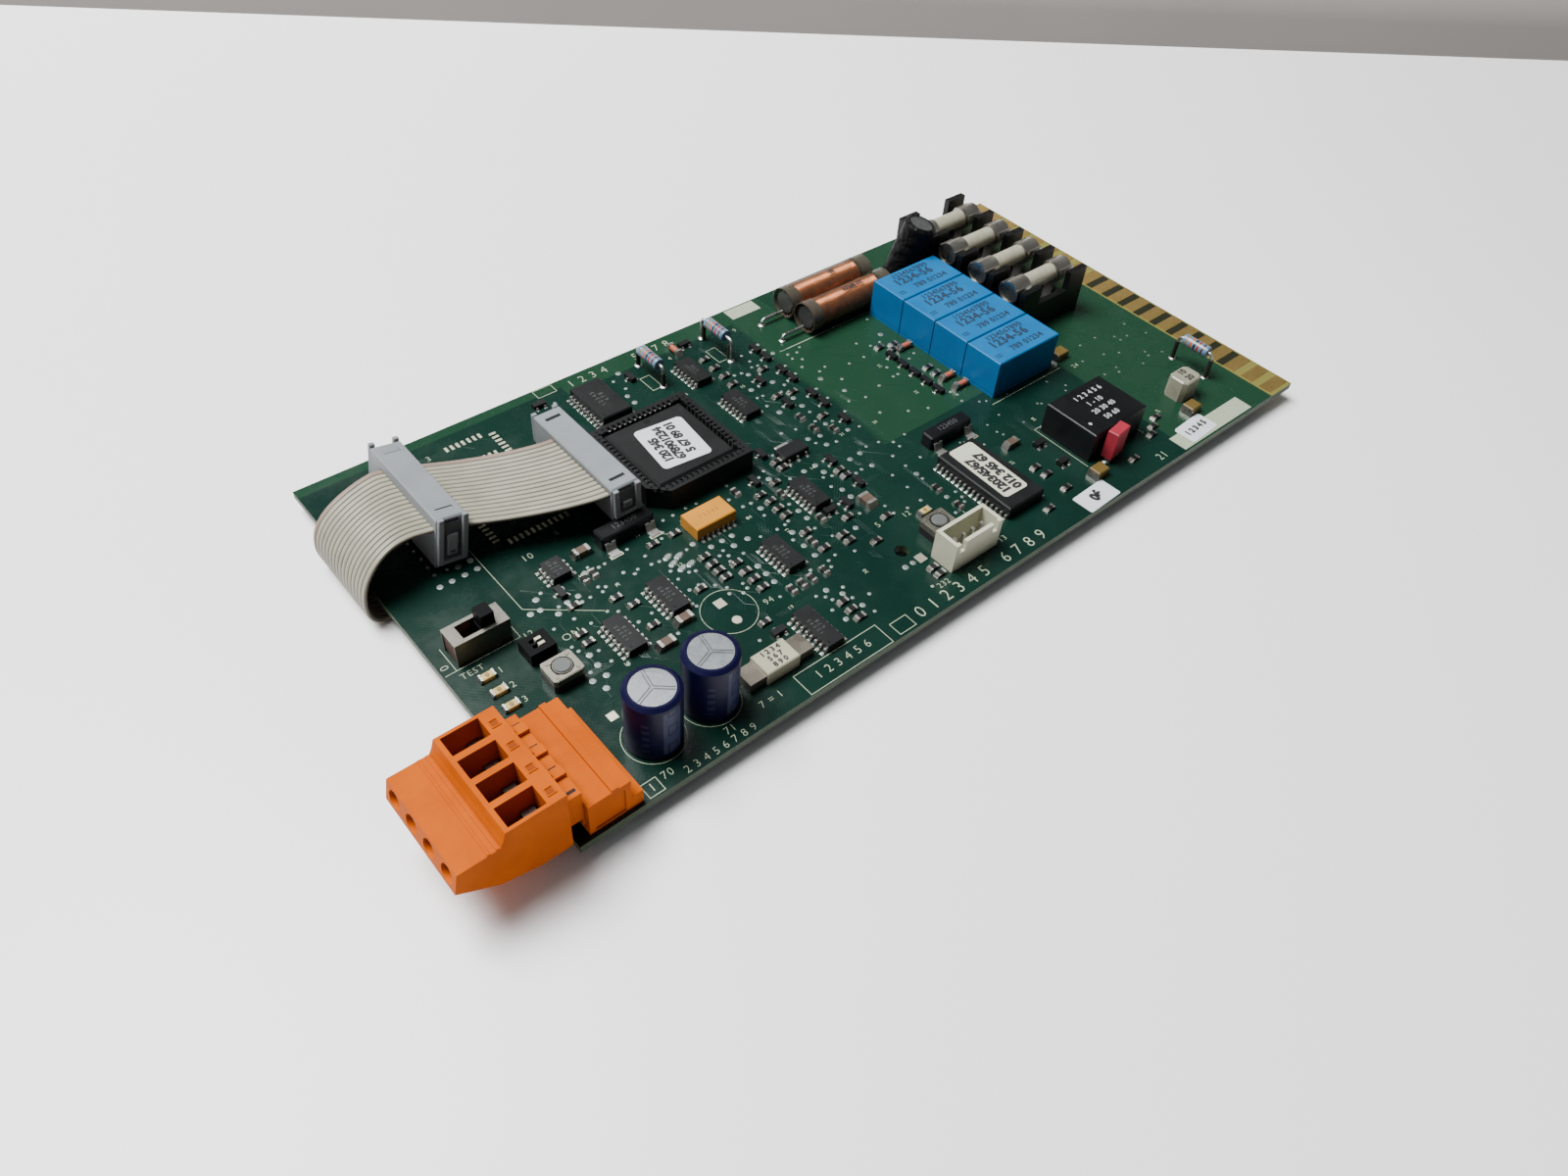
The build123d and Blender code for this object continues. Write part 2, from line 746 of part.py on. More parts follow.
for x, y in left_singles:
    short_lead_places += side_leads(x, y, trio_body, 2, trio_pitch, (1,))
    short_lead_places += side_leads(x, y, trio_body, 1, 0, (-1,))
for x, y in front_pairs:
    for offset, turn in ((-trio_pitch / 2, -90), (trio_pitch / 2, -90), (0, 90)):
        side = 1 if turn > 0 else -1
        short_lead_places.append(spot(x + offset, y + side * trio_body / 2, 0, turn))

with BuildPart() as chip_leads:
    with Locations(*long_lead_places):
        add(bent_lead.part)
    with Locations(*short_lead_places):
        add(short_lead.part)
    with BuildSketch(deck(0)):
        with Locations((regulator[0], regulator[1] + regulator_body / 2 + 0.85)):
            Rectangle(3.1, 1.7)
    extrude(amount=0.3)
save(chip_leads, "chip_leads")

# Chip resistors and capacitors, along the board and across it
chips_along = [
    (53.2, 37.5), (53.2, 35.1), (53.2, 33.0), (53.2, 30.9), (57.1, 32.6), (57.1, 29.8), (57.1, 27.3),
    (57.1, 24.7), (47.4, 46.1), (52.5, 46.0), (47.6, 31.4), (72.9, 44.5), (77.7, 45.6), (73.4, 41.9),
    (73.3, 39.3), (73.3, 37.0), (73.3, 31.0), (73.3, 25.5), (78.6, 26.1), (78.6, 24.0), (82.0, 50.3),
    (82.0, 48.2), (82.9, 29.2), (89.3, 24.7), (82.8, 20.8), (91.0, 40.6), (91.0, 38.6), (66.6, 12.9),
    (66.6, 10.5), (66.6, 8.2), (86.5, 8.9), (86.5, 6.9), (33.9, 39.0), (35.5, 35.7), (35.4, 29.5),
    (23.9, 35.6), (23.9, 33.1), (26.7, 41.9), (51.8, 17.8), (91.6, 87.0), (91.6, 83.2), (91.6, 79.6),
    (91.2, 76.2), (96.5, 67.0), (100.2, 66.3), (100.2, 56.0), (100.2, 76.5), (127.8, 67.0),
    (131.3, 66.0), (129.8, 64.6), (131.6, 54.8), (131.6, 52.2), (125.2, 16.4), (125.6, 13.6),
    (125.6, 8.2), (117.8, 6.2), (144.9, 5.4), (154.8, 8.2), (157.4, 9.8), (160.4, 11.4),
]
chips_across = [
    (61.0, 21.0), (63.5, 21.0), (65.9, 21.0), (69.1, 21.0), (69.3, 48.2), (76.5, 42.3), (72.5, 28.4),
    (78.3, 32.2), (99.1, 51.4), (103.4, 24.5), (95.7, 58.5), (95.7, 54.0), (31.9, 46.4), (34.0, 46.6),
    (103.4, 18.2),
]
chip_size = (2.0, 1.2)
chip_parts_height = 0.6
with BuildPart() as chip_parts:
    with BuildSketch(deck(0)):
        with Locations(*chips_along):
            Rectangle(*chip_size)
        with Locations(*chips_across):
            Rectangle(*chip_size, rotation=90)
    extrude(amount=chip_parts_height)
save(chip_parts, "chip_parts")

with BuildPart() as ceramic_capacitors:
    with BuildSketch(deck(0)):
        with Locations((34.5, 24.4), (40.5, 27.1), (35.2, 52.3), (126.6, 24.6)):
            Rectangle(3.2, 1.7)
        with Locations((89.0, 30.2)):
            Rectangle(2.4, 3.2)
    extrude(amount=1.3)
save(ceramic_capacitors, "ceramic_capacitors")

with BuildPart() as tantalum_capacitors:
    with BuildSketch(deck(0)):
        with Locations((134.6, 7.1), (169.3, 8.3), (160.2, 39.7)):
            Rectangle(3.5, 2.8)
    extrude(amount=1.9)
    chamfer(tantalum_capacitors.faces().group_by(Axis.Z)[-1].edges(), 0.2)
save(tantalum_capacitors, "tantalum_capacitors")

round_chips = [(132.6, 63.6), (132.6, 49.6), (132.9, 45.6)]
with BuildPart() as round_resistors:
    for x, y in round_chips:
        with BuildSketch(from_right(x - 1.8)):
            with Locations((y, 0.7)):
                Circle(0.7)
        extrude(amount=3.6)
    with BuildSketch(from_front(93.6 + 1.8)):
        with Locations((88.0, 0.7)):
            Circle(0.7)
    extrude(amount=3.6)
save(round_resistors, "round_resistors")

# Crystals lie in line with the board's long edge, each with two flat leads bent down at its front
crystals = {"clock": (44.8, 52.0), "bus": (117.1, 35.3)}
crystal_length = 12.2
crystal_width = 3.5
crystal_height = 3.2
crystal_corner = 0.7
crystal_lead_spread = 4.6
crystal_lead_width = 2.2
crystal_notch = 0.5

with BuildPart() as crystal_cans:
    with BuildSketch(deck(0)):
        with Locations(*crystals.values()):
            RectangleRounded(crystal_length, crystal_width, crystal_corner)
    extrude(amount=crystal_height)
    chamfer(crystal_cans.faces().group_by(Axis.Z)[-1].edges(), 0.3)
save(crystal_cans, "crystal_cans")

with BuildPart() as crystal_leads:
    for x, y in crystals.values():
        face = y - crystal_width / 2
        for side in (-1, 1):
            lead_middle = x + side * crystal_lead_spread
            with BuildSketch(from_right(lead_middle - crystal_lead_width / 2)):
                with BuildLine():
                    Polyline(
                        (face, 1.5), (face, 1.95), (face - 0.4, 1.95), (face - 0.9, 0.25), (face - 2.4, 0.25),
                        (face - 2.4, 0), (face - 0.7, 0), (face - 0.25, 1.5), close=True,
                    )
                make_face()
            extrude(amount=crystal_lead_width)
            with BuildSketch(from_right(lead_middle - crystal_notch / 2)):
                with Locations((face - 0.2, 1.8)):
                    Rectangle(0.6, 0.5)
            extrude(amount=crystal_notch, mode=Mode.SUBTRACT)
save(crystal_leads, "crystal_leads")

# Axial resistors lie from front to back, held up clear of the board on their formed leads
axial = {
    "first": (78.4, 94.3, 84.8, 4.9), "second": (96.4, 94.3, 83.4, 5.5), "third": (182.6, 23.1, 13.9, 6.2),
}
axial_radius = 1.3
axial_length = 6.6
axial_wire = 0.35

with BuildPart() as axial_resistors:
    for x, back, front, height in axial.values():
        with BuildSketch(from_front((back + front) / 2 + axial_length / 2)):
            with Locations((x, height)):
                Circle(axial_radius)
        extrude(amount=axial_length)
save(axial_resistors, "axial_resistors")

# Chokes: copper wound on a ferrite rod inside a clear sleeve
choke_rows = [90.2, 82.6]
choke_left = 117.5
choke_sleeve_length = 26.0
choke_winding_length = 19.5
choke_rod_radius = 2.6
choke_winding_radius = 3.4
choke_sleeve_radius = 3.7
choke_axis = choke_sleeve_radius
choke_middle = choke_left + choke_sleeve_length / 2
choke_pads = (111.1, choke_left + choke_sleeve_length + 4.0)


def rods(places, length, radius, mode=Mode.ADD):
    # Round bodies along the board's long edge, each about its middle
    for x, y, height in places:
        with BuildSketch(from_right(x - length / 2)) as section:
            with Locations((y, height)):
                Circle(radius)
        extrude(section.sketch, amount=length, mode=mode)


choke_places = [(choke_middle, y, choke_axis) for y in choke_rows]
with BuildPart() as choke_rods:
    rods(choke_places, choke_sleeve_length - 1.0, choke_rod_radius)
save(choke_rods, "choke_rods")

with BuildPart() as choke_windings:
    rods(choke_places, choke_winding_length, choke_winding_radius)
    rods(choke_places, choke_winding_length, choke_rod_radius + slip, Mode.SUBTRACT)
save(choke_windings, "choke_windings")

with BuildPart() as choke_sleeves:
    rods(choke_places, choke_sleeve_length, choke_sleeve_radius)
    rods(choke_places, choke_sleeve_length, choke_winding_radius + slip, Mode.SUBTRACT)
save(choke_sleeves, "choke_sleeves")

# Formed wire leads of the axial resistors and the chokes
lead_bend = 1.0
bends = []
for x, back, front, height in axial.values():
    middle = (back + front) / 2
    bends.append(((x, back), (x, middle + axial_length / 2), height, axial_wire))
    bends.append(((x, front), (x, middle - axial_length / 2), height, axial_wire))
for y in choke_rows:
    bends.append(((choke_pads[0], y), (choke_left - slip, y), 1.4, lead_radius))
    bends.append(((choke_pads[1], y), (choke_left + choke_sleeve_length + slip, y), 1.4, lead_radius))

with BuildPart() as formed_leads:
    for foot, end, height, radius in bends:
        drilled.append((*foot, radius + hole_clearance))
        with BuildLine():
            FilletPolyline(
                deck(-board_top).from_local_coords((*foot, 0)), deck(height).from_local_coords((*foot, 0)),
                deck(height).from_local_coords((*end, 0)), radius=lead_bend,
            )
        with BuildSketch(deck(-board_top)):
            with Locations(foot):
                Circle(radius)
        sweep()
save(formed_leads, "formed_leads")

# Signal transformer in a potted case, with a film capacitor beside it
transformer_middle = (144.4, 17.5)
transformer_size = (17.3, 13.4)
transformer_height = 7.3
save(blocks([transformer_middle], *transformer_size, transformer_height, edge=0.2), "transformer")
for side in (-1, 1):
    for n in (-1, 0, 1):
        through_lead(transformer_middle[0] + 5.08 * n, transformer_middle[1] + side * 5.1)

film_place = (141.2, 9.1)
film_turn = 8.0
film_lift = 1.2
with BuildPart() as film_capacitor:
    with BuildSketch(deck(film_lift)):
        with Locations(film_place):
            Rectangle(5.0, 2.5, rotation=film_turn)
    extrude(amount=6.8)
    chamfer(film_capacitor.faces().sort_by(Axis.Z)[-1].edges(), 0.15)
save(film_capacitor, "film_capacitor")
for side in (-1, 1):
    reach_x = 1.9 * side * cos(radians(film_turn))
    reach_y = 1.9 * side * sin(radians(film_turn))
    through_lead(film_place[0] + reach_x, film_place[1] + reach_y, film_lift)

with BuildPart() as square_choke:
    with BuildSketch(deck(0)):
        with Locations((172.4, 13.7)):
            Rectangle(6.3, 5.0)
    extrude(amount=5.3)
    chamfer(square_choke.edges().filter_by(Axis.Z), 0.9)
    chamfer(square_choke.faces().sort_by(Axis.Z)[-1].edges(), 0.3)
save(square_choke, "square_choke")

# White header: an open box with four posts and two key slots in its front wall
key_left = 88.4
key_front = 5.8
key_length = 12.9
key_depth = 5.6
key_height = 7.0
key_wall = 0.8
key_pitch = 2.5
key_floor = 1.4
key_middle = (key_left + key_length / 2, key_front + key_depth / 2)
key_pins = [(key_middle[0] + key_pitch * (n - 1.5), key_middle[1] + 0.1) for n in range(4)]

with BuildPart() as white_header:
    with BuildSketch(deck(0)):
        with Locations(key_middle):
            Rectangle(key_length, key_depth)
    extrude(amount=key_height)
    with BuildSketch(deck(key_floor)):
        with Locations(key_middle):
            Rectangle(key_length - 2 * key_wall, key_depth - 2 * key_wall)
    extrude(amount=key_height, mode=Mode.SUBTRACT)
    with BuildSketch(from_front(key_front + key_wall)):
        with Locations((key_left + 1.9, key_height - 1.2), (key_left + key_length - 1.9, key_height - 1.2)):
            Rectangle(1.4, 2.4)
    extrude(amount=key_wall, mode=Mode.SUBTRACT)
    with BuildSketch(deck(0)):
        with Locations(*key_pins):
            Rectangle(pin_side + 2 * slip, pin_side + 2 * slip)
    extrude(amount=key_floor, mode=Mode.SUBTRACT)
save(white_header, "white_header")
for x, y in key_pins:
    drilled.append((x, y, pin_side * 0.71 + hole_clearance))

with BuildPart() as white_header_pins:
    with BuildSketch(deck(-board_top)):
        with Locations(*key_pins):
            Rectangle(pin_side, pin_side)
    extrude(amount=board_top + key_height - 1.6)
save(white_header_pins, "white_header_pins")

# Fuse block: walls between the bays stand highest beside the clips
ear_top = 11.7
ear_reach = 6.0
wall_middle_top = 7.0
clip_inner = fuse_radius + 0.02
clip_outer = clip_inner + clip_gauge
clip_offset_x = fuse_block_length / 2 - clip_length / 2 - 1.0
fuse_middle = fuse_left + fuse_block_length / 2
clip_xs = [fuse_middle - clip_offset_x, fuse_middle + clip_offset_x]
wall_rows = [fuse_back - fuse_wall / 2 - fuse_pitch * n for n in range(fuse_count + 1)]
clip_stem = 1.4

with BuildPart() as fuse_block:
    with BuildSketch(deck(0)):
        with Locations((fuse_middle, fuse_back - fuse_block_width / 2)):
            Rectangle(fuse_block_length, fuse_block_width)
    extrude(amount=fuse_block_base)
    with BuildSketch(deck(0)):
        with Locations(*[(fuse_middle, y) for y in wall_rows]):
            Rectangle(fuse_block_length, fuse_wall)
    extrude(amount=wall_middle_top)
    with BuildSketch(deck(0)):
        for x in (fuse_left + ear_reach / 2, fuse_right - ear_reach / 2):
            with Locations(*[(x, y) for y in wall_rows]):
                Rectangle(ear_reach, fuse_wall)
    extrude(amount=ear_top)
    with BuildSketch(deck(0)):
        with Locations(*[(x, y) for x in clip_xs for y in fuse_rows]):
            Circle(clip_stem / 2 + slip)
    extrude(amount=fuse_block_base, mode=Mode.SUBTRACT)
save(fuse_block, "fuse_block")

with BuildPart() as fuse_clips:
    for y in fuse_rows:
        for x in clip_xs:
            drilled.append((x, y, clip_stem / 2 + hole_clearance))
            with BuildSketch(from_right(x - clip_length / 2)):
                with Locations((y, fuse_axis)):
                    Circle(clip_outer)
                    Circle(clip_inner, mode=Mode.SUBTRACT)
                with Locations((y, fuse_axis + 1.4 + clip_outer)):
                    Rectangle(3 * clip_outer, 2 * clip_outer, mode=Mode.SUBTRACT)
                with Locations((y, (fuse_block_base + fuse_axis - clip_inner - 0.1) / 2)):
                    Rectangle(2.4, fuse_axis - clip_inner - 0.1 - fuse_block_base)
            extrude(amount=clip_length)
    with BuildSketch(deck(-board_top)):
        with Locations(*[(x, y) for x in clip_xs for y in fuse_rows]):
            Circle(clip_stem / 2)
    extrude(amount=board_top + fuse_block_base)
save(fuse_clips, "fuse_clips")

fuse_places = [(fuse_middle, y, fuse_axis) for y in fuse_rows]
cap_places = [
    (x + side * (fuse_length - fuse_cap_length) / 2, y, height)
    for x, y, height in fuse_places for side in (-1, 1)
]
cap_gauge = 0.3
tube_radius = fuse_radius - cap_gauge - slip
tube_length = fuse_length - 2 * cap_gauge - 2 * slip

with BuildPart() as fuse_tubes:
    rods(fuse_places, tube_length, tube_radius)
save(fuse_tubes, "fuse_tubes")

with BuildPart() as fuse_caps:
    rods(cap_places, fuse_cap_length, fuse_radius)
    rods(fuse_places, fuse_length - 2 * cap_gauge, fuse_radius - cap_gauge, Mode.SUBTRACT)
save(fuse_caps, "fuse_caps")

# Relays: sealed cases side by side
relay_middle = relay_left + relay_length / 2
relay_rows = [relay_front + relay_width / 2 + relay_pitch * n for n in range(relay_count)]
relay_places = [(relay_middle, y) for y in relay_rows]
save(blocks(relay_places, relay_length, relay_width, relay_height, edge=0.2), "relays")
for x, y in relay_places:
    for offset in (-relay_length / 2 + 1.3, -2.2, 2.9, relay_length / 2 - 1.3):
        for side in (-1, 1):
            through_lead(x + offset, y + side * (relay_width / 2 - 1.2))

# Edge contacts
contact_count = int(board_width // contact_pitch)
contact_places = [
    (board_length - 0.4 - contact_length / 2, contact_pitch * (n + 0.5)) for n in range(contact_count)
]
save(blocks(contact_places, contact_length, contact_width, contact_thickness), "edge_contacts")

# Paper labels on the chip carrier, the memory chip and the front edge
label_gauge = 0.1
with BuildPart() as paper_labels:
    with BuildSketch(deck(carrier_height)):
        with Locations((socket_centre[0] + 0.4, socket_centre[1] - 0.4)):
            RectangleRounded(11.3, 13.1, 1.0, rotation=-6.0)
    extrude(amount=label_gauge)
    with BuildSketch(deck(2.85)):
        with Locations((memory_chip[0] + 0.1, memory_chip[1] + 1.0)):
            RectangleRounded(6.7, 16.8, 0.8, rotation=-1.5)
    extrude(amount=label_gauge)
    with BuildSketch(deck(0)):
        with Locations((128.9, 2.8)):
            RectangleRounded(9.9, 5.2, 0.4, rotation=2.0)
        with Locations((165.1, 3.7)):
            RectangleRounded(9.6, 5.4, 0.8, rotation=3.0)
    extrude(amount=label_gauge)
save(paper_labels, "paper_labels")

# Round leads through the board, and the board itself
with BuildPart() as component_leads:
    for x, y, top, radius in leads:
        with BuildSketch(deck(-board_top)):
            with Locations((x, y)):
                Circle(radius)
        extrude(amount=board_top + top)
save(component_leads, "component_leads")

with BuildPart() as board:
    with BuildSketch(deck(-board_thickness)):
        with Locations((board_length / 2, board_width / 2)):
            Rectangle(board_length, board_width)
        with Locations(tooling_hole):
            Circle(tooling_hole_radius, mode=Mode.SUBTRACT)
        for x, y, radius in drilled:
            with Locations((x, y)):
                Circle(radius, mode=Mode.SUBTRACT)
    extrude(amount=board_thickness)
save(board, "board")
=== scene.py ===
import math
import random

import bpy
from mathutils import Euler, Matrix, Vector


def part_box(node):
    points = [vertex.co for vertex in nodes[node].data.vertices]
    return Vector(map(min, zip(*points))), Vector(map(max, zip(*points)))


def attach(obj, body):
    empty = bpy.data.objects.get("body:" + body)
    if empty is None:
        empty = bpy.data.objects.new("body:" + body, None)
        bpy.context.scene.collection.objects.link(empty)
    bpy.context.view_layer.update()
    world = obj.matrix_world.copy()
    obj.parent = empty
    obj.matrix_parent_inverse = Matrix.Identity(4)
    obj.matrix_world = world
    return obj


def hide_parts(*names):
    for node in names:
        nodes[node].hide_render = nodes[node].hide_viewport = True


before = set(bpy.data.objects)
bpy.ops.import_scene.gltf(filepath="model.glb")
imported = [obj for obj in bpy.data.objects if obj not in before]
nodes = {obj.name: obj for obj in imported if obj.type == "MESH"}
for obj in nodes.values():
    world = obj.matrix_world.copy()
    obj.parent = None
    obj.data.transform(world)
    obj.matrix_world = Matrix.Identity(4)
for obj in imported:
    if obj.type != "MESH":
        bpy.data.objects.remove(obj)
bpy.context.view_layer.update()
mm = 0.001
perMetre = 1000.0  # millimetres
chance = random.Random(7)
boardLow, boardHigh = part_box("board")
corner = Vector((boardLow.x, boardLow.y, boardHigh.z))  # front left corner of the board's top face
boardThick = (boardHigh.z - boardLow.z) / mm
boardLength = (boardHigh.x - boardLow.x) / mm
boardWidth = (boardHigh.y - boardLow.y) / mm


def onBoard(x, y, height=0.0):  # millimetres from that corner
    return corner + Vector((x, y, height)) * mm


def fromCorner(point):
    return [(along - start) / mm for along, start in zip(point, corner)]


def middleOf(box):
    return (box[0] + box[1]) / 2


print("camera")
cameraSetup = {
    "place": (-0.13207, -0.13327, 0.16294),
    "right": (0.75908, -0.64801, 0.06229),
    "down": (-0.44360, -0.58491, -0.67904),
    "forward": (0.47646, 0.48781, -0.73145),
    "lens": 26.53, "sensor": 36, "near": 0.005,
}
bpy.ops.object.camera_add()
camera = bpy.context.object
camera.data.lens = cameraSetup["lens"]
camera.data.sensor_width = cameraSetup["sensor"]
turned = Matrix((cameraSetup["right"], -Vector(cameraSetup["down"]), -Vector(cameraSetup["forward"]))).transposed()
camera.matrix_world = Matrix.Translation(cameraSetup["place"]) @ turned.to_4x4()
camera.data.clip_start = cameraSetup["near"]
bpy.context.scene.camera = camera


class Wire:  # one value in a shader, with ordinary arithmetic
    def __init__(self, tree, socket):
        self.tree = tree
        self.socket = socket

    def node(self, kind, inputs, out=0, **settings):  # any other node
        made = self.tree.nodes.new(kind)
        for name, value in settings.items():
            setattr(made, name, value)
        for name, value in inputs.items():
            self.plug(made.inputs[name], value)
        return Wire(self.tree, made.outputs[out])

    def plug(self, target, value):
        if isinstance(value, Wire):
            self.tree.links.new(value.socket, target)
        elif hasattr(target.default_value, "__len__"):
            room = len(target.default_value)
            target.default_value = (*value, 1.0)[:room]
        else:
            target.default_value = value

    def maths(self, operation, *others):
        return self.node("ShaderNodeMath", dict(enumerate((self, *others))), operation=operation)

    def __add__(self, other):
        return self.maths("ADD", other)

    def __sub__(self, other):
        return self.maths("SUBTRACT", other)

    def __rsub__(self, other):
        return self.maths("MULTIPLY_ADD", -1.0, other)

    def __mul__(self, other):
        return self.maths("MULTIPLY", other)

    def __mod__(self, other):
        return self.maths("FLOORED_MODULO", other)

    def __gt__(self, other):
        return self.maths("GREATER_THAN", other)

    def __lt__(self, other):
        return self.maths("LESS_THAN", other)

    def __or__(self, other):
        return self.maths("MAXIMUM", other)

    def __abs__(self):
        return self.maths("ABSOLUTE")

    __radd__ = __add__
    __rmul__ = __mul__


def between(value, low, high):
    return (value > low) * (value < high)


def ramp(value, low, high):  # 0 at the low end, 1 at the high one
    return value.node("ShaderNodeMapRange", {"Value": value, "From Min": low, "From Max": high})


def blendColours(factor, first, second):
    return factor.node("ShaderNodeMix", {0: factor, 6: first, 7: second}, 2, data_type="RGBA")  # its colour sockets


def noise(place, size, detail=3.0, roughness=0.55):  # size is the pattern's width in millimetres
    values = {"Vector": place, "Scale": perMetre / size, "Detail": detail, "Roughness": roughness}
    return place.node("ShaderNodeTexNoise", values)


def stretched(place, along, across, upwards):
    return place.node("ShaderNodeMapping", {"Vector": place, "Scale": (along, across, upwards)})


def startFinish(name):
    material = bpy.data.materials.new(name)
    material.use_nodes = True
    tree = material.node_tree
    source = tree.nodes.new("ShaderNodeTexCoord")
    return material, Wire(tree, source.outputs["Object"])


def boardPlace(place):  # x, y and height in millimetres from the board's corner
    axes = []
    for n in range(3):
        along = place.node("ShaderNodeSeparateXYZ", {"Vector": place}, n)
        axes.append((along - corner[n]) * perMetre)
    return axes


def dress(material, place, bump=None, bumpDepth=0.02, **values):
    shader = material.node_tree.nodes["Principled BSDF"]
    names = {"colour": "Base Color", "roughness": "Roughness", "metallic": "Metallic", "alpha": "Alpha",
             "coat": "Coat Weight", "coatRoughness": "Coat Roughness", "specular": "Specular IOR Level"}
    for name, value in values.items():
        place.plug(shader.inputs[names[name]], value)
    if bump is not None:
        raised = {"Height": bump, "Distance": bumpDepth * mm, "Strength": 1.0}
        place.plug(shader.inputs["Normal"], place.node("ShaderNodeBump", raised, "Normal"))
    return material


def shade(colour, amount):
    return tuple(min(1.0, part * amount) for part in colour)


def plasticFinish(name, colour, roughness=0.42, mottle=0.12, grain=0.3, grainDepth=0.012, coat=0.0, specular=0.45):
    # moulded plastic: slow colour drift, fine mould grain and a little settled dust
    material, place = startFinish(name)
    drift = noise(place, 6.0, 4.0)
    fine = noise(place, grain, 2.0)
    specks = ramp(noise(place, 0.9, 3.0, 0.7), 0.66, 0.78)
    tinted = blendColours(ramp(drift, 0.3, 0.7), shade(colour, 1.0 - mottle), shade(colour, 1.0 + mottle))
    dusty = blendColours(specks * 0.05, tinted, (0.20, 0.20, 0.18))
    rough = roughness - 0.05 + 0.12 * drift + 0.06 * fine
    return dress(material, place, fine, grainDepth, colour=dusty, roughness=rough, coat=coat, coatRoughness=0.15,
                 specular=specular)


def metalFinish(name, colour, roughness=0.28, tarnish=0.25, grain=0.25, brushed=(1, 1, 1), bumpDepth=0.008):
    # plated metal: cloudy tarnish, smudges and fine drawing lines along one direction
    material, place = startFinish(name)
    clouds = noise(place, 3.0, 5.0, 0.6)
    lines = noise(stretched(place, *brushed), grain, 3.0)
    dark = shade(colour, 1.0 - tarnish)
    worn = blendColours(ramp(clouds, 0.35, 0.7), colour, dark)
    rough = roughness + 0.22 * ramp(clouds, 0.4, 0.75) + 0.1 * lines
    return dress(material, place, lines, bumpDepth, colour=worn, roughness=rough, metallic=1.0)


def inkFinish(name, colour):
    # printed ink: patchy where it ran thin
    material, place = startFinish(name)
    thin = ramp(noise(place, 0.35, 3.0, 0.7), 0.3, 0.62)
    patchy = blendColours(thin, shade(colour, 0.85 * 0.75), colour)
    return dress(material, place, thin, 0.004, colour=patchy, roughness=0.6 + 0.15 * thin)


print("finishes")
boardLook = {
    "dark": (0.0014, 0.0140, 0.0100),
    "pour": (0.0019, 0.0166, 0.0117),
    "light": (0.0078, 0.0340, 0.0170),
    "laminate": (0.175, 0.160, 0.040),
    "gap": (0.010, 0.012, 0.005),
    "side": (0.018, 0.030, 0.012),
    "stripLeft": 189.8,
    "gapRows": (12.5, 57.5),
}


def boardFinish(look):
    # solder mask over glass weave and copper pours, bare laminate past the strip, and cut layers on the sides
    material, place = startFinish("solderMask")
    x, y, z = boardPlace(place)
    clouds = noise(place, 14.0, 3.0)
    weave = (x * 7.4).maths("SINE") * (y * 7.4).maths("SINE")
    pours = ramp(noise(place, 11.0, 1.0), 0.45, 0.56)
    thinLeft = ramp(x + 5.0 * noise(place, 22.0, 1.0), 107.0, 109.0) * (y > 41.0)
    thinRight = ramp(x, 157.6, 158.0) | ramp(y, 97.3, 97.8) | ramp(y, 94.2, 94.7) * (x > 60.0)
    thin = (thinLeft | thinRight) * (1.0 - between(x, 117.5, 122.0) * (y > 80.0) * 0.4)
    mask = blendColours(pours, look["dark"], look["pour"])
    mask = blendColours(thin, mask, look["light"])
    lit = blendColours(ramp(clouds, 0.3, 0.75) * 0.22 + 0.05 * weave * thin, mask, shade(look["light"], 0.75))
    bare = blendColours(0.5 + 0.3 * weave, look["laminate"], shade(look["laminate"], 0.7))
    rows = between(y, *look["gapRows"])
    inGap = (((y + 0.95) % 5.0) < 1.9) * rows * between(x, look["stripLeft"] + 0.5, boardLength - 0.5)
    bare = blendColours(inGap, bare, look["gap"])
    face = blendColours(x > look["stripLeft"], lit, bare)
    layers = noise(stretched(place, 1, 1, 18), 1.2, 3.0)
    side = blendColours(layers, look["side"], shade(look["side"], 2.2))
    onSide = between(z, 0.03 - boardThick, -0.03)
    colour = blendColours(onSide, face, side)
    smears = ramp(noise(place, 9.0, 5.0, 0.65), 0.45, 0.75)
    rough = 0.24 + 0.16 * smears + 0.3 * onSide + 0.12 * (x > look["stripLeft"])
    bump = 0.5 * weave + 1.2 * noise(place, 0.8, 2.0)
    return dress(material, place, bump, 0.006, colour=colour, roughness=rough, coat=0.06, coatRoughness=0.12,
                 specular=0.28)


def plugFinish():
    # orange moulding: paler flow streaks, and painted shade that deepens down into the pockets
    material, place = startFinish("orangeMoulding")
    x, y, z = boardPlace(place)
    drift = noise(place, 7.0, 4.0)
    fine = noise(place, 0.22, 2.0)
    flow = noise(stretched(place, 1, 6, 1), 2.6, 3.0)
    colour = blendColours(ramp(drift, 0.3, 0.7), (0.37, 0.064, 0.0005), (0.45, 0.084, 0.0008))
    colour = blendColours(ramp(flow, 0.55, 0.8) * 0.35, colour, (0.50, 0.100, 0.0015))
    # painted shade: the moulding darkens towards the floor of each pole pocket, standing in for the shade inside it
    pocketShade = ramp(z, 13.6, 9.0) * between(x, -10.1, -3.5) * between(y, 1.4, 20.5) * (z > 8.0) * 0.4
    colour = blendColours(pocketShade, colour, (0.060, 0.012, 0.0025))
    rough = 0.40 + 0.14 * drift + 0.06 * fine
    return dress(material, place, fine + flow, 0.012, colour=colour, roughness=rough, specular=0.03)


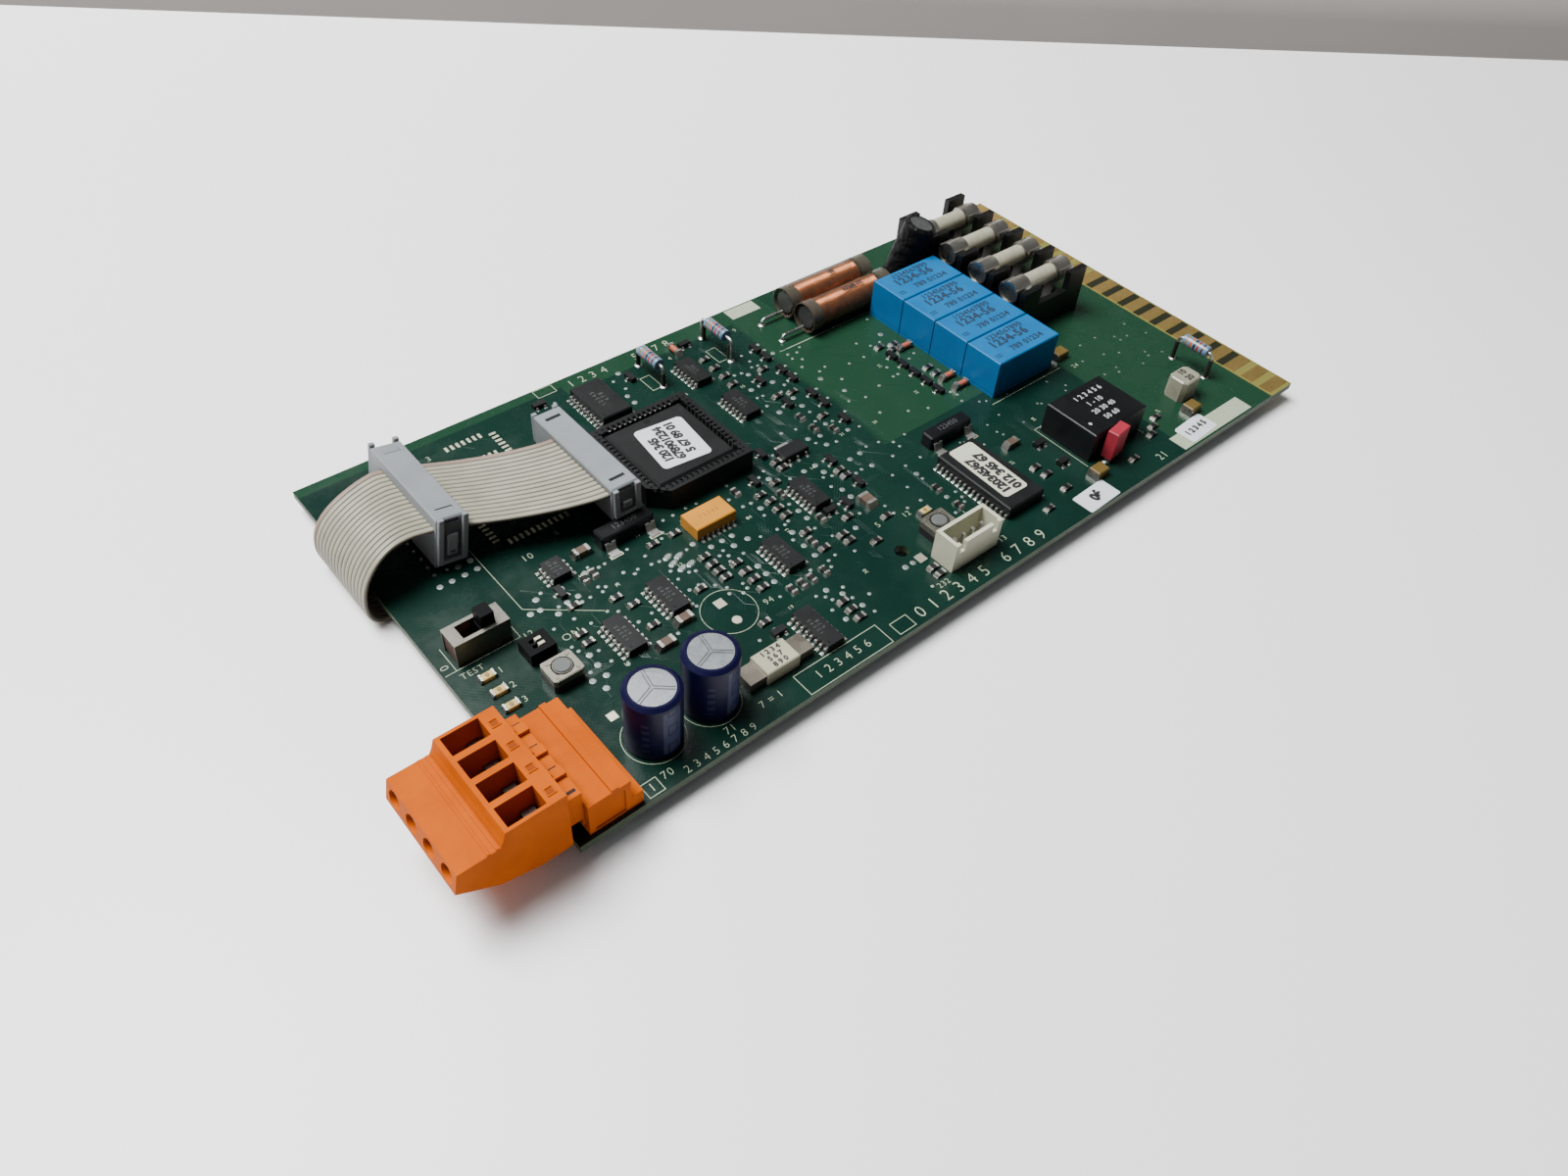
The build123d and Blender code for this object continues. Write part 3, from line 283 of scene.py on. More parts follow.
def ribbonFinish():
    # vinyl ribbon: the last conductor is marked red, and the webs between the conductors carry painted shade
    material, place = startFinish("ribbonVinyl")
    tree = material.node_tree
    layout = Wire(tree, tree.nodes.new("ShaderNodeUVMap").outputs[0])
    across = place.node("ShaderNodeSeparateXYZ", {"Vector": layout})
    web = ramp(abs((across * 16.0 % 1.0) - 0.5), 0.33, 0.49)
    cloud = noise(place, 5.0, 4.0)
    vinyl = blendColours(ramp(cloud, 0.3, 0.7), (0.20, 0.190, 0.142), (0.265, 0.252, 0.192))
    # painted shade: the vinyl is darkened in the grooves between conductors
    vinyl = blendColours(web * 0.9, vinyl, (0.060, 0.050, 0.036))
    stripe = (across > 15.12 / 16.0) * 0.6
    vinyl = blendColours(stripe, vinyl, (0.16, 0.07, 0.055))
    rough = 0.46 + 0.14 * cloud
    return dress(material, place, noise(place, 0.5, 2.0), 0.01, colour=vinyl, roughness=rough)


sleeveLook = {"colour": (0.0026, 0.0020, 0.0210), "print": (0.040, 0.046, 0.090), "stripeTurns": (-2.45, -2.2)}


def sleeveFinish(look):
    # shrunk sleeve: dim printed marks, and a pale polarity stripe with outlined blocks
    material, place = startFinish("blueSleeve")
    x, y, z = boardPlace(place)
    stripes = None
    for box, turn in zip(looseBoxes("blue_sleeves"), look["stripeTurns"]):
        centre = (middleOf(box) - corner) / mm
        dx = x - centre.x
        dy = y - centre.y
        angle = dy.maths("ARCTAN2", dx)
        near = ((dx * dx + dy * dy) < 36.0) * 1.0
        aside = abs(angle - turn - 0.95)
        band = (aside < 0.36) * between(z, 1.2, 12.0) * near
        outline = between(z % 5.0, 0.8, 3.6) * (aside < 0.2) - between(z % 5.0, 1.15, 3.25) * (aside < 0.15)
        words = (abs(angle - turn) < 0.13) * between(z % 1.7, 0.35, 1.25) * between(z, 2.5, 9.5) * near
        mark = band * (1.0 - 0.8 * outline) | words * 0.45
        stripes = mark if stripes is None else stripes | mark
    cloud = noise(place, 4.0, 3.0)
    colour = blendColours(stripes * 0.75, look["colour"], look["print"])
    colour = blendColours(ramp(cloud, 0.5, 0.8) * 0.4, colour, shade(look["colour"], 1.8))
    return dress(material, place, cloud, 0.05, colour=colour, roughness=0.34 + 0.1 * cloud, coat=0.04,
                 coatRoughness=0.2, specular=0.1)


def relayFinish():
    # relay case: cloudy blue, with a moulded seam near the foot
    material, place = startFinish("blueMoulding")
    x, y, z = boardPlace(place)
    cloud = noise(place, 5.0, 4.0)
    fine = noise(place, 0.3, 2.0)
    colour = blendColours(ramp(cloud, 0.3, 0.7), (0.001, 0.092, 0.250), (0.001, 0.112, 0.292))
    seam = between(z, 0.75, 0.95)
    colour = blendColours(seam * 0.6, colour, (0.001, 0.020, 0.045))
    rough = 0.34 + 0.12 * cloud
    return dress(material, place, fine - seam, 0.015, colour=colour, roughness=rough, coat=0.02, specular=0.25)


def crateredSolder(name, colour, roughness):
    # solder: bright domes with dull flux haze and small pits
    material, place = startFinish(name)
    haze = ramp(noise(place, 1.6, 4.0), 0.35, 0.75)
    pits = ramp(noise(place, 0.18, 2.0), 0.35, 0.6)
    colour = blendColours(haze * 0.5, colour, shade(colour, 0.72))
    return dress(material, place, pits, 0.02, colour=colour, roughness=roughness + 0.2 * haze, metallic=1.0)


def paperFinish(name, white, cream):
    # paper labels: fibre mottling, and a yellowed one over the long chip
    material, place = startFinish(name)
    x, y, z = boardPlace(place)
    colour = blendColours(between(x, 108.0, 120.0), white, cream)
    fibre = noise(stretched(place, 1, 3, 1), 0.5, 4.0, 0.65)
    cloud = noise(place, 3.0, 3.0)
    tinted = blendColours(ramp(cloud, 0.3, 0.7) * 0.12, colour, (0.10, 0.10, 0.09))
    tinted = blendColours(ramp(fibre, 0.55, 0.8) * 0.15, tinted, (0.10, 0.10, 0.10))
    return dress(material, place, fibre, 0.01, colour=tinted, roughness=0.55 + 0.15 * cloud)


def sleeveClear():
    # clear shrink sleeve: amber-grey, wrinkled round the winding, milky at its ends
    material, place = startFinish("clearSleeve")
    x, y, z = boardPlace(place)
    wrinkle = noise(stretched(place, 3, 1, 1), 2.2, 4.0)
    ends = ramp(abs(x - (middleOf(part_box("choke_sleeves")).x - corner.x) / mm), 9.6, 10.4)
    colour = blendColours(ends, (0.110, 0.090, 0.062), (0.075, 0.064, 0.048))
    alpha = 0.10 + 0.12 * ramp(wrinkle, 0.5, 0.75) + 0.5 * ends
    return dress(material, place, wrinkle, 0.12, colour=colour, roughness=0.14 + 0.1 * wrinkle, alpha=alpha)


def pushFinish():
    # push switch: nickel cover over a dark base
    material, place = startFinish("pushCover")
    x, y, z = boardPlace(place)
    cover = z > 1.7
    cloud = noise(place, 1.6, 4.0)
    plated = blendColours(ramp(cloud, 0.3, 0.7), (0.17, 0.16, 0.13), (0.24, 0.225, 0.185))
    colour = blendColours(cover, (0.006, 0.006, 0.007), plated)
    return dress(material, place, noise(place, 0.3, 2.0), 0.008, colour=colour, roughness=0.36 + 0.1 * cloud,
                 metallic=cover * 0.85)


def copperFinish():
    material, place = startFinish("enamelCopper")
    cloud = noise(place, 4.0, 3.0)
    colour = blendColours(ramp(cloud, 0.35, 0.65), (0.25, 0.068, 0.018), (0.44, 0.130, 0.034))
    return dress(material, place, noise(place, 0.4, 2.0), 0.006, colour=colour, roughness=0.26 + 0.1 * cloud,
                 metallic=0.9, coat=0.5, coatRoughness=0.12)


def ceramicFinish(name, colour, roughness=0.3):
    material, place = startFinish(name)
    cloud = noise(place, 2.0, 4.0)
    grit = noise(place, 0.2, 2.0)
    tinted = blendColours(ramp(cloud, 0.3, 0.7), shade(colour, 0.82), shade(colour, 1.1))
    tinted = blendColours(ramp(grit, 0.62, 0.75) * 0.3, tinted, shade(colour, 0.5))
    return dress(material, place, grit, 0.01, colour=tinted, roughness=roughness + 0.12 * cloud, coat=0.15)


def goldFinish():
    # gold fingers: rubbed lengthwise where they slide into their socket
    material, place = startFinish("goldPlate")
    x, y, z = boardPlace(place)
    rub = noise(stretched(place, 1, 9, 1), 1.4, 4.0)
    cloud = noise(place, 2.5, 4.0)
    colour = blendColours(ramp(cloud, 0.35, 0.7), (1.0, 0.70, 0.22), (0.80, 0.56, 0.19))
    colour = blendColours(ramp(rub, 0.5, 0.72) * 0.5, colour, (0.40, 0.28, 0.11))
    return dress(material, place, rub, 0.006, colour=colour, roughness=0.26 + 0.2 * cloud, metallic=1.0)


print("tools")


def clearSelection():
    if bpy.context.object and bpy.context.object.mode != "OBJECT":
        bpy.ops.object.mode_set(mode="OBJECT")
    bpy.ops.object.select_all(action="DESELECT")


def choose(piece):  # the only selected object, and the active one
    clearSelection()
    piece.select_set(True)
    bpy.context.view_layer.objects.active = piece


def settle(piece):  # brings an object's place, turn and size into its mesh
    choose(piece)
    bpy.ops.object.transform_apply(location=True, rotation=True, scale=True)
    return piece


def shaped(piece, kind, **settings):  # adds one modifier and applies it
    modifier = piece.modifiers.new("shaping", kind)
    for name, value in settings.items():
        setattr(modifier, name, value)
    choose(piece)
    bpy.ops.object.modifier_apply(modifier="shaping")
    return piece


def pick(piece, test=None):  # edit mode, with every face or those chosen by centre and normal
    choose(piece)
    for part in (piece.data.vertices, piece.data.edges, piece.data.polygons):
        part.foreach_set("select", [False] * len(part))
    for face in piece.data.polygons:
        face.select = test is None or test(face.center, face.normal)
    bpy.ops.object.mode_set(mode="EDIT")
    bpy.ops.mesh.select_mode(type="FACE")


def leave():
    bpy.ops.object.mode_set(mode="OBJECT")


def outward(piece):
    pick(piece)
    bpy.ops.mesh.normals_make_consistent(inside=False)
    leave()
    return piece


def linked(name, data):
    made = bpy.data.objects.new(name, data)
    bpy.context.scene.collection.objects.link(made)
    return made


def drawn(curve, kind, points):  # one more line on a curve, in millimetres from the corner
    line = curve.splines.new(kind)
    line.points.add(len(points) - 1)
    for point, place in zip(line.points, points):
        point.co = (*onBoard(*place), 1)
    return line


def cube(size, place=(0, 0, 0)):
    clearSelection()
    bpy.ops.mesh.primitive_cube_add(size=1, location=place)
    made = bpy.context.object
    made.scale = size
    return settle(made)


def tube(radius, depth, place=(0, 0, 0), sides=16, lying=False):  # upright, or along y
    clearSelection()
    turn = (math.pi / 2 if lying else 0, 0, 0)
    bpy.ops.mesh.primitive_cylinder_add(vertices=sides, radius=radius, depth=depth, location=place, rotation=turn)
    return settle(bpy.context.object)


def cone(low, high, depth, sides=10):  # stands on the origin
    clearSelection()
    bpy.ops.mesh.primitive_cone_add(vertices=sides, radius1=low, radius2=high, depth=depth, location=(0, 0, depth / 2))
    return settle(bpy.context.object)


def softened(piece, width, steps=1):
    return shaped(piece, "BEVEL", width=width, segments=steps, limit_method="ANGLE", angle_limit=math.radians(40))


def joined(pieces):
    clearSelection()
    for piece in pieces:
        piece.select_set(True)
    bpy.context.view_layer.objects.active = pieces[0]
    if len(pieces) > 1:
        bpy.ops.object.join()
    return settle(bpy.context.object)


def copies(template, places):  # each place is a position, a turn in degrees and three scales
    made = []
    for position, turn, scale in places:
        copy = linked(template.name, template.data.copy())
        copy.matrix_world = Matrix.LocRotScale(Vector(position), Euler((0, 0, math.radians(turn))), Vector(scale))
        made.append(copy)
    bpy.data.objects.remove(template)
    return joined(made)


def fit(pieces, name, finishName, smooth=None, replaces=()):
    piece = joined(pieces) if isinstance(pieces, list) else pieces
    if smooth:
        choose(piece)
        bpy.ops.object.shade_smooth_by_angle(angle=math.radians(smooth))
    piece.name = name
    piece.data.materials.clear()
    piece.data.materials.append(finishes[finishName])
    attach(piece, "board_assembly")
    if replaces:
        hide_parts(*replaces)


def looseBoxes(name):  # the low and high corners and the centre of each separate body in a CAD node
    mesh = nodes[name].data
    group = {}
    keys = [tuple(round(part * 1e6) for part in vertex.co) for vertex in mesh.vertices]

    def root(key):
        while group.get(key, key) != key:
            group[key] = group.get(group[key], group[key])
            key = group[key]
        return key

    for face in mesh.polygons:
        first = root(keys[face.vertices[0]])
        for vertex in face.vertices[1:]:
            group[root(keys[vertex])] = first
    boxes = {}
    for vertex, key in zip(mesh.vertices, keys):
        low, high = boxes.setdefault(root(key), [vertex.co.copy(), vertex.co.copy()])
        for n in range(3):
            low[n] = min(low[n], vertex.co[n])
            high[n] = max(high[n], vertex.co[n])
    ordered = sorted(boxes.values(), key=lambda box: (round(box[0].x, 5), round(box[0].y, 5)))
    return [(low, high, middleOf((low, high))) for low, high in ordered]


def inkSpot(box, dx=0.0, dy=0.0, lift=0.004):  # just over the middle of a box's top, in metres
    centre = middleOf(box)
    return centre.x + dx * mm, centre.y + dy * mm, box[1].z + lift * mm


def write(words, place, size, turn=0.0, spacing=1.0, bold=0.0):
    clearSelection()
    bpy.ops.object.text_add(location=place, rotation=(0, 0, math.radians(turn)))
    made = bpy.context.object
    made.data.body = words
    made.data.size = size * mm
    made.data.align_x = "CENTER"
    made.data.align_y = "CENTER"
    made.data.offset = bold * size * mm
    made.data.space_character = spacing
    made.data.resolution_u = 2
    bpy.ops.object.convert(target="MESH")
    return settle(bpy.context.object)


def frameLine(x0, y0, x1, y1, width=0.14, height=0.012):  # a printed rectangle's outline
    clearSelection()
    bpy.ops.mesh.primitive_plane_add(size=1, location=onBoard((x0 + x1) / 2, (y0 + y1) / 2, height))
    made = bpy.context.object
    made.scale = ((x1 - x0) * mm, (y1 - y0) * mm, 1)
    settle(made)
    pick(made)
    bpy.ops.mesh.inset(thickness=width * mm, depth=0)
    bpy.ops.mesh.delete(type="FACE")
    leave()
    return made


def ringLine(x, y, radius, width=0.12, height=0.0, sides=40):
    clearSelection()
    bpy.ops.mesh.primitive_torus_add(major_segments=sides, minor_segments=4, major_radius=radius * mm,
                                     minor_radius=width / 2 * mm, location=onBoard(x, y, height))
    made = bpy.context.object
    made.scale.z = 0.1
    return settle(made)


def bar(x0, y0, x1, y1, height=0.0, thick=0.02, width=None):
    # a printed block between two corners, or a line of the given width between two points
    if width is None:
        size = ((x1 - x0) * mm, (y1 - y0) * mm, thick * mm)
        return cube(size, onBoard((x0 + x1) / 2, (y0 + y1) / 2, height + thick / 2))
    made = cube((math.hypot(x1 - x0, y1 - y0) * mm, width * mm, thick * mm))
    made.rotation_euler.z = math.atan2(y1 - y0, x1 - x0)
    made.location = onBoard((x0 + x1) / 2, (y0 + y1) / 2, height + thick / 2)
    return settle(made)


print("CAD finishes")
finishTables = (
    (crateredSolder, {  # colour and roughness
        "solderBright": ((0.50, 0.50, 0.48), 0.22), "holeTin": ((0.24, 0.28, 0.26), 0.44),
        "endTin": ((0.42, 0.41, 0.37), 0.24), "barePad": ((0.50, 0.49, 0.38), 0.36),
    }),
    (metalFinish, {  # colour, roughness, tarnish, grain, brushing and bump depth
        "tinPlate": ((0.44, 0.44, 0.42), 0.34, 0.35),
        "nickelPlate": ((0.21, 0.20, 0.175), 0.30, 0.35, 0.3, (1, 8, 1)),
        "drawnAluminium": ((0.30, 0.32, 0.335), 0.26, 0.35, 0.7, (5, 1, 1), 0.03),
        "capNickel": ((0.58, 0.56, 0.50), 0.22, 0.35, 0.3, (1, 8, 1)),
        "clipNickel": ((0.22, 0.20, 0.165), 0.30, 0.3, 0.3, (1, 8, 1)),
        "clampSteel": ((0.13, 0.125, 0.115), 0.35), "scoreShade": ((0.05, 0.055, 0.06), 0.4),
        "plateMetal": ((0.23, 0.22, 0.185), 0.36, 0.2, 0.3),
    }),
    (inkFinish, {  # colour
        "whiteInk": [(0.32, 0.37, 0.26)], "paleInk": [(0.40, 0.42, 0.41)], "darkInk": [(0.005, 0.016, 0.036)],
        "blackInk": [(0.006, 0.006, 0.007)], "greyInk": [(0.045, 0.048, 0.048)], "brownInk": [(0.20, 0.070, 0.008)],
    }),
    (plasticFinish, {  # colour, roughness, mottle, grain, grain depth, coat and specular
        "chipBlack": ((0.0036, 0.0042, 0.0045), 0.42, 0.3, 0.16, 0.012, 0.0, 0.3),
        "caseBlack": ((0.0026, 0.0030, 0.0038), 0.32, 0.3, 0.4, 0.008, 0.1, 0.3),
        "socketBlack": ((0.0034, 0.0040, 0.0045), 0.46, 0.25, 0.25, 0.012, 0.0, 0.25),
        "blockBlack": ((0.0020, 0.0024, 0.0025), 0.34, 0.3, 0.4, 0.012, 0.05, 0.25),
        "blackSleeve": ((0.0022, 0.0022, 0.0024), 0.50, 0.2, 1.9, 0.9, 0.0, 0.12),
        "knobBlack": ((0.0020, 0.0022, 0.0026), 0.5, 0.2, 0.25, 0.012, 0.0, 0.08),
        "trackMask": ((0.0040, 0.0235, 0.0165), 0.30, 0.25, 2.0, 0.004, 0.1, 0.4),
        "slotShade": ((0.012, 0.004, 0.002), 0.6, 0.3, 0.4, 0.012, 0.0, 0.2),
        # painted shade for the square recesses on the plug top
        "wellBrown": ((0.20, 0.036, 0.002), 0.5, 0.2, 0.3, 0.012, 0.0, 0.05),
        "endShade": ((0.070, 0.075, 0.080), 0.6, 0.3, 0.4, 0.012, 0.0, 0.2),
        "rimShade": ((0.0012, 0.0012, 0.0014), 0.7, 0.3, 0.4, 0.012, 0.0, 0.1),
        "tanMoulding": ((0.46, 0.185, 0.010), 0.38, 0.08, 0.3, 0.012, 0.15),
        "redMoulding": ((0.27, 0.018, 0.034), 0.3, 0.12, 0.5, 0.01, 0.2),
        "socketGrey": ((0.172, 0.187, 0.196), 0.44, 0.08, 0.25),
        "creamMoulding": ((0.33, 0.31, 0.22), 0.44, 0.08, 0.25),
        "whiteMoulding": ((0.44, 0.44, 0.33), 0.38, 0.06, 0.3),
        "brownPhenolic": ((0.045, 0.013, 0.008), 0.5, 0.2, 0.3),
        "amberMoulding": ((0.098, 0.063, 0.013), 0.42, 0.15, 0.3),
        "buttonGrey": ((0.082, 0.092, 0.088), 0.36, 0.08, 0.3),
        "leadSleeve": ((0.010, 0.011, 0.006), 0.5, 0.3, 0.5),
    }),
    (ceramicFinish, {  # colour and roughness
        "chokeCream": ((0.23, 0.225, 0.165), 0.3), "fuseCeramic": ((0.31, 0.295, 0.222), 0.28),
        "chipBrown": ((0.075, 0.050, 0.034), 0.34), "lacquerBlue": ((0.085, 0.160, 0.250), 0.26),
        "lacquerRed": ((0.34, 0.080, 0.045), 0.28), "ferriteGrey": ((0.020, 0.020, 0.018), 0.5),
        "lampCream": ((0.44, 0.35, 0.13), 0.25), "lensTan": ((0.24, 0.13, 0.035), 0.3),
        "brownBand": ((0.060, 0.016, 0.008), 0.3), "redBand": ((0.24, 0.012, 0.008), 0.3),
        "blackBand": ((0.005, 0.005, 0.005), 0.3), "orangeBand": ((0.38, 0.080, 0.006), 0.3),
        "goldBand": ((0.22, 0.13, 0.03), 0.3),
    }),
    (paperFinish, {"paperWhite": ((0.54, 0.58, 0.60), (0.46, 0.47, 0.37))}),
)
finishes = {name: make(name, *values) for make, table in finishTables for name, values in table.items()}
for made in (boardFinish(boardLook), plugFinish(), ribbonFinish(), sleeveFinish(sleeveLook), relayFinish(),
             sleeveClear(), pushFinish(), copperFinish(), goldFinish()):
    finishes[made.name] = made

dressing = {
    "solderMask": "board", "goldPlate": "edge_contacts fork_contacts header_pins",
    "orangeMoulding": "terminal_plug terminal_header", "nickelPlate": "plug_clamps slide_switch_can",
    "tinPlate": "terminal_pins carrier_contacts chip_leads crystal_leads white_header_pins",
    "socketGrey": "cable_sockets socket_covers", "socketBlack": "pin_header carrier_socket",
    "brownPhenolic": "slide_switch_base", "knobBlack": "slide_actuator code_switch_body",
    "whiteMoulding": "code_slider_1 code_slider_2 white_header", "pushCover": "push_switches",
    "buttonGrey": "wake_button service_button", "lampCream": "indicator_lamps",
    "drawnAluminium": "capacitor_cans", "blueSleeve": "blue_sleeves", "blackSleeve": "black_sleeve",
    "creamMoulding": "small_fuse_holder", "clipNickel": "small_fuse_clips",
    "chipBlack": "carrier_chip narrow_chips wide_chip memory_chip regulator small_transistors chip_parts",
    "tanMoulding": "resistor_network", "chipBrown": "ceramic_capacitors", "amberMoulding": "tantalum_capacitors",
    "lacquerRed": "round_resistors", "caseBlack": "crystal_cans transformer", "lacquerBlue": "axial_resistors",
    "ferriteGrey": "choke_rods", "clearSleeve": "choke_sleeves", "solderBright": "formed_leads component_leads",
    "redMoulding": "film_capacitor", "chokeCream": "square_choke", "blockBlack": "fuse_block",
    "capNickel": "fuse_clips fuse_caps", "fuseCeramic": "fuse_tubes", "blueMoulding": "relays",
    "paperWhite": "paper_labels",
}
for finishName, dressed in dressing.items():
    for name in dressed.split():
        nodes[name].data.materials.clear()
        nodes[name].data.materials.append(finishes[finishName])

print("ribbon cable")
ribbon = {
    "stations": [(49.4, 64.5, 8.5), (43.7, 64.5, 8.5), (37.0, 66.8, 7.8), (31.0, 69.3, 7.4), (25.0, 71.7, 7.5),
                 (19.6, 73.7, 8.1), (12.4, 75.3, 9.3)],
    "loop": [(8.4, 75.0, 9.8), (4.4, 74.4, 9.5), (0.6, 73.6, 8.0), (-2.2, 73.1, 5.0), (-3.2, 72.8, 1.2),
             (-2.8, 72.6, -2.2), (-0.6, 72.6, -4.1), (2.8, 72.6, -3.6), (6.4, 72.6, -2.55), (14.4, 72.6, -2.55)],
    "pitch": 1.27, "count": 16, "thick": 0.43, "web": 0.13, "roll": 0.09,
    "bumps": (-0.5, -0.38, -0.2, 0.0, 0.2, 0.38),
}


def ribbonMesh(plan):
    route = plan["stations"] + plan["loop"]
    curve = bpy.data.curves.new("ribbonRoute", "CURVE")
    curve.dimensions = "3D"
    curve.resolution_u = 8
    line = drawn(curve, "NURBS", route)
    line.order_u = 3
    line.use_endpoint_u = True
    carrier = linked("ribbonRoute", curve)
    bpy.context.view_layer.update()
    path = [vertex.co.copy() for vertex in bpy.data.meshes.new_from_object(carrier).vertices]
    bpy.data.objects.remove(carrier)
    profile = []  # across in pitches, then half thickness in millimetres
    for n in range(plan["count"]):
        for step in plan["bumps"]:
            lift = plan["web"] + (plan["thick"] - plan["web"]) * math.sqrt(max(0.0, 1 - (step / 0.5) ** 2))
            profile.append((n + 0.5 + step, lift))
    profile.append((plan["count"], plan["web"]))
    ring = profile + [(across, -lift) for across, lift in reversed(profile)]
    vertices, faces, uvs = [], [], []
    travelled = 0.0
    for n, centre in enumerate(path):
        ahead = path[min(n + 1, len(path) - 1)] - path[max(n - 1, 0)]
        up = Vector((-ahead.z, 0, ahead.x)).normalized() * -1
        travelled += (centre - path[n - 1]).length if n else 0
        x, height = (centre.x - corner.x) / mm, (centre.z - corner.z) / mm
        roll = plan["roll"] * math.sin(math.pi * min(max((x + 4.0) / 15.0, 0.0), 1.0)) if height > 0 else 0.0
        for across, lift in ring:
            side = (across - plan["count"] / 2) * plan["pitch"]
            vertices.append(centre + Vector((0, side, -side * roll)) * mm + up * lift * mm)
            uvs.append((across / plan["count"], travelled * 10))
    count = len(ring)
    for n in range(len(path) - 1):
        for k in range(count):
            after = (k + 1) % count
            faces.append((n * count + k, n * count + after, (n + 1) * count + after, (n + 1) * count + k))
    faces.append(tuple(range(count)))
    faces.append(tuple(reversed(range((len(path) - 1) * count, len(path) * count))))
    mesh = bpy.data.meshes.new("ribbonCable")
    mesh.from_pydata(vertices, [], faces)
    layer = mesh.uv_layers.new(name="UVMap")
    for loop in mesh.loops:
        layer.data[loop.index].uv = uvs[loop.vertex_index]
    return linked("ribbonCable", mesh)


fit(outward(ribbonMesh(ribbon)), "ribbonCable", "ribbonVinyl", smooth=35, replaces=("ribbon_cable",))
tails = {"columns": (10.66, 13.2), "rows": 8, "middle": 72.6, "pitch": 2.54, "height": -2.4}
tailPlaces = []
for column in tails["columns"]:
    for row in range(tails["rows"]):
        y = tails["middle"] + tails["pitch"] * (row - (tails["rows"] - 1) / 2)
        tailPlaces.append((onBoard(column, y, tails["height"]), 0, (1, 1, 1)))
tailPin = softened(tube(0.34 * mm, 2.7 * mm, (0, 0, 1.35 * mm), 10), 0.08 * mm)
fit(copies(tailPin, tailPlaces), "ribbonTails", "solderBright", smooth=40)

print("solder and pads")
leadNodes = ("component_leads", "formed_leads", "header_pins", "white_header_pins", "terminal_pins", "fuse_clips")
jointPlaces = []
for name in leadNodes:
    for low, high, centre in looseBoxes(name):
        x, y = centre.xy
        if name == "formed_leads":  # the foot is at the end away from what it carries
            foot = [v.co for v in nodes[name].data.vertices if v.co.z < boardLow.z and low.x <= v.co.x <= high.x
                    and low.y <= v.co.y <= high.y]
            x = sum(co.x for co in foot) / len(foot)
            y = sum(co.y for co in foot) / len(foot)
        if name == "terminal_pins":
            x = high.x - 0.5 * mm
        jointPlaces.append(((x, y, boardLow.z), 0, (1, 1, -1)))
        if name in ("component_leads", "formed_leads"):
            jointPlaces.append(((x, y, boardHigh.z), 0, (0.85, 0.85, 0.35)))
jointCone = softened(cone(1.15 * mm, 0.5 * mm, 1.0 * mm, 10), 0.2 * mm)
fit(outward(copies(jointCone, jointPlaces)), "jointSolder", "solderBright", smooth=50)

leadPads = []
for low, high, centre in looseBoxes("chip_leads"):
    size = high - low
    leadPads.append(((centre.x, centre.y, boardHigh.z), 0, ((size.x + 0.32 * mm) / mm, (size.y + 0.32 * mm) / mm, 1)))
padBlock = cube((1 * mm, 1 * mm, 0.09 * mm), (0, 0, 0.045 * mm))
pick(padBlock, lambda centre, normal: normal.z > 0.5)
bpy.ops.transform.resize(value=(0.82, 0.82, 1))
leave()
fit(copies(padBlock, leadPads), "leadSolder", "endTin")

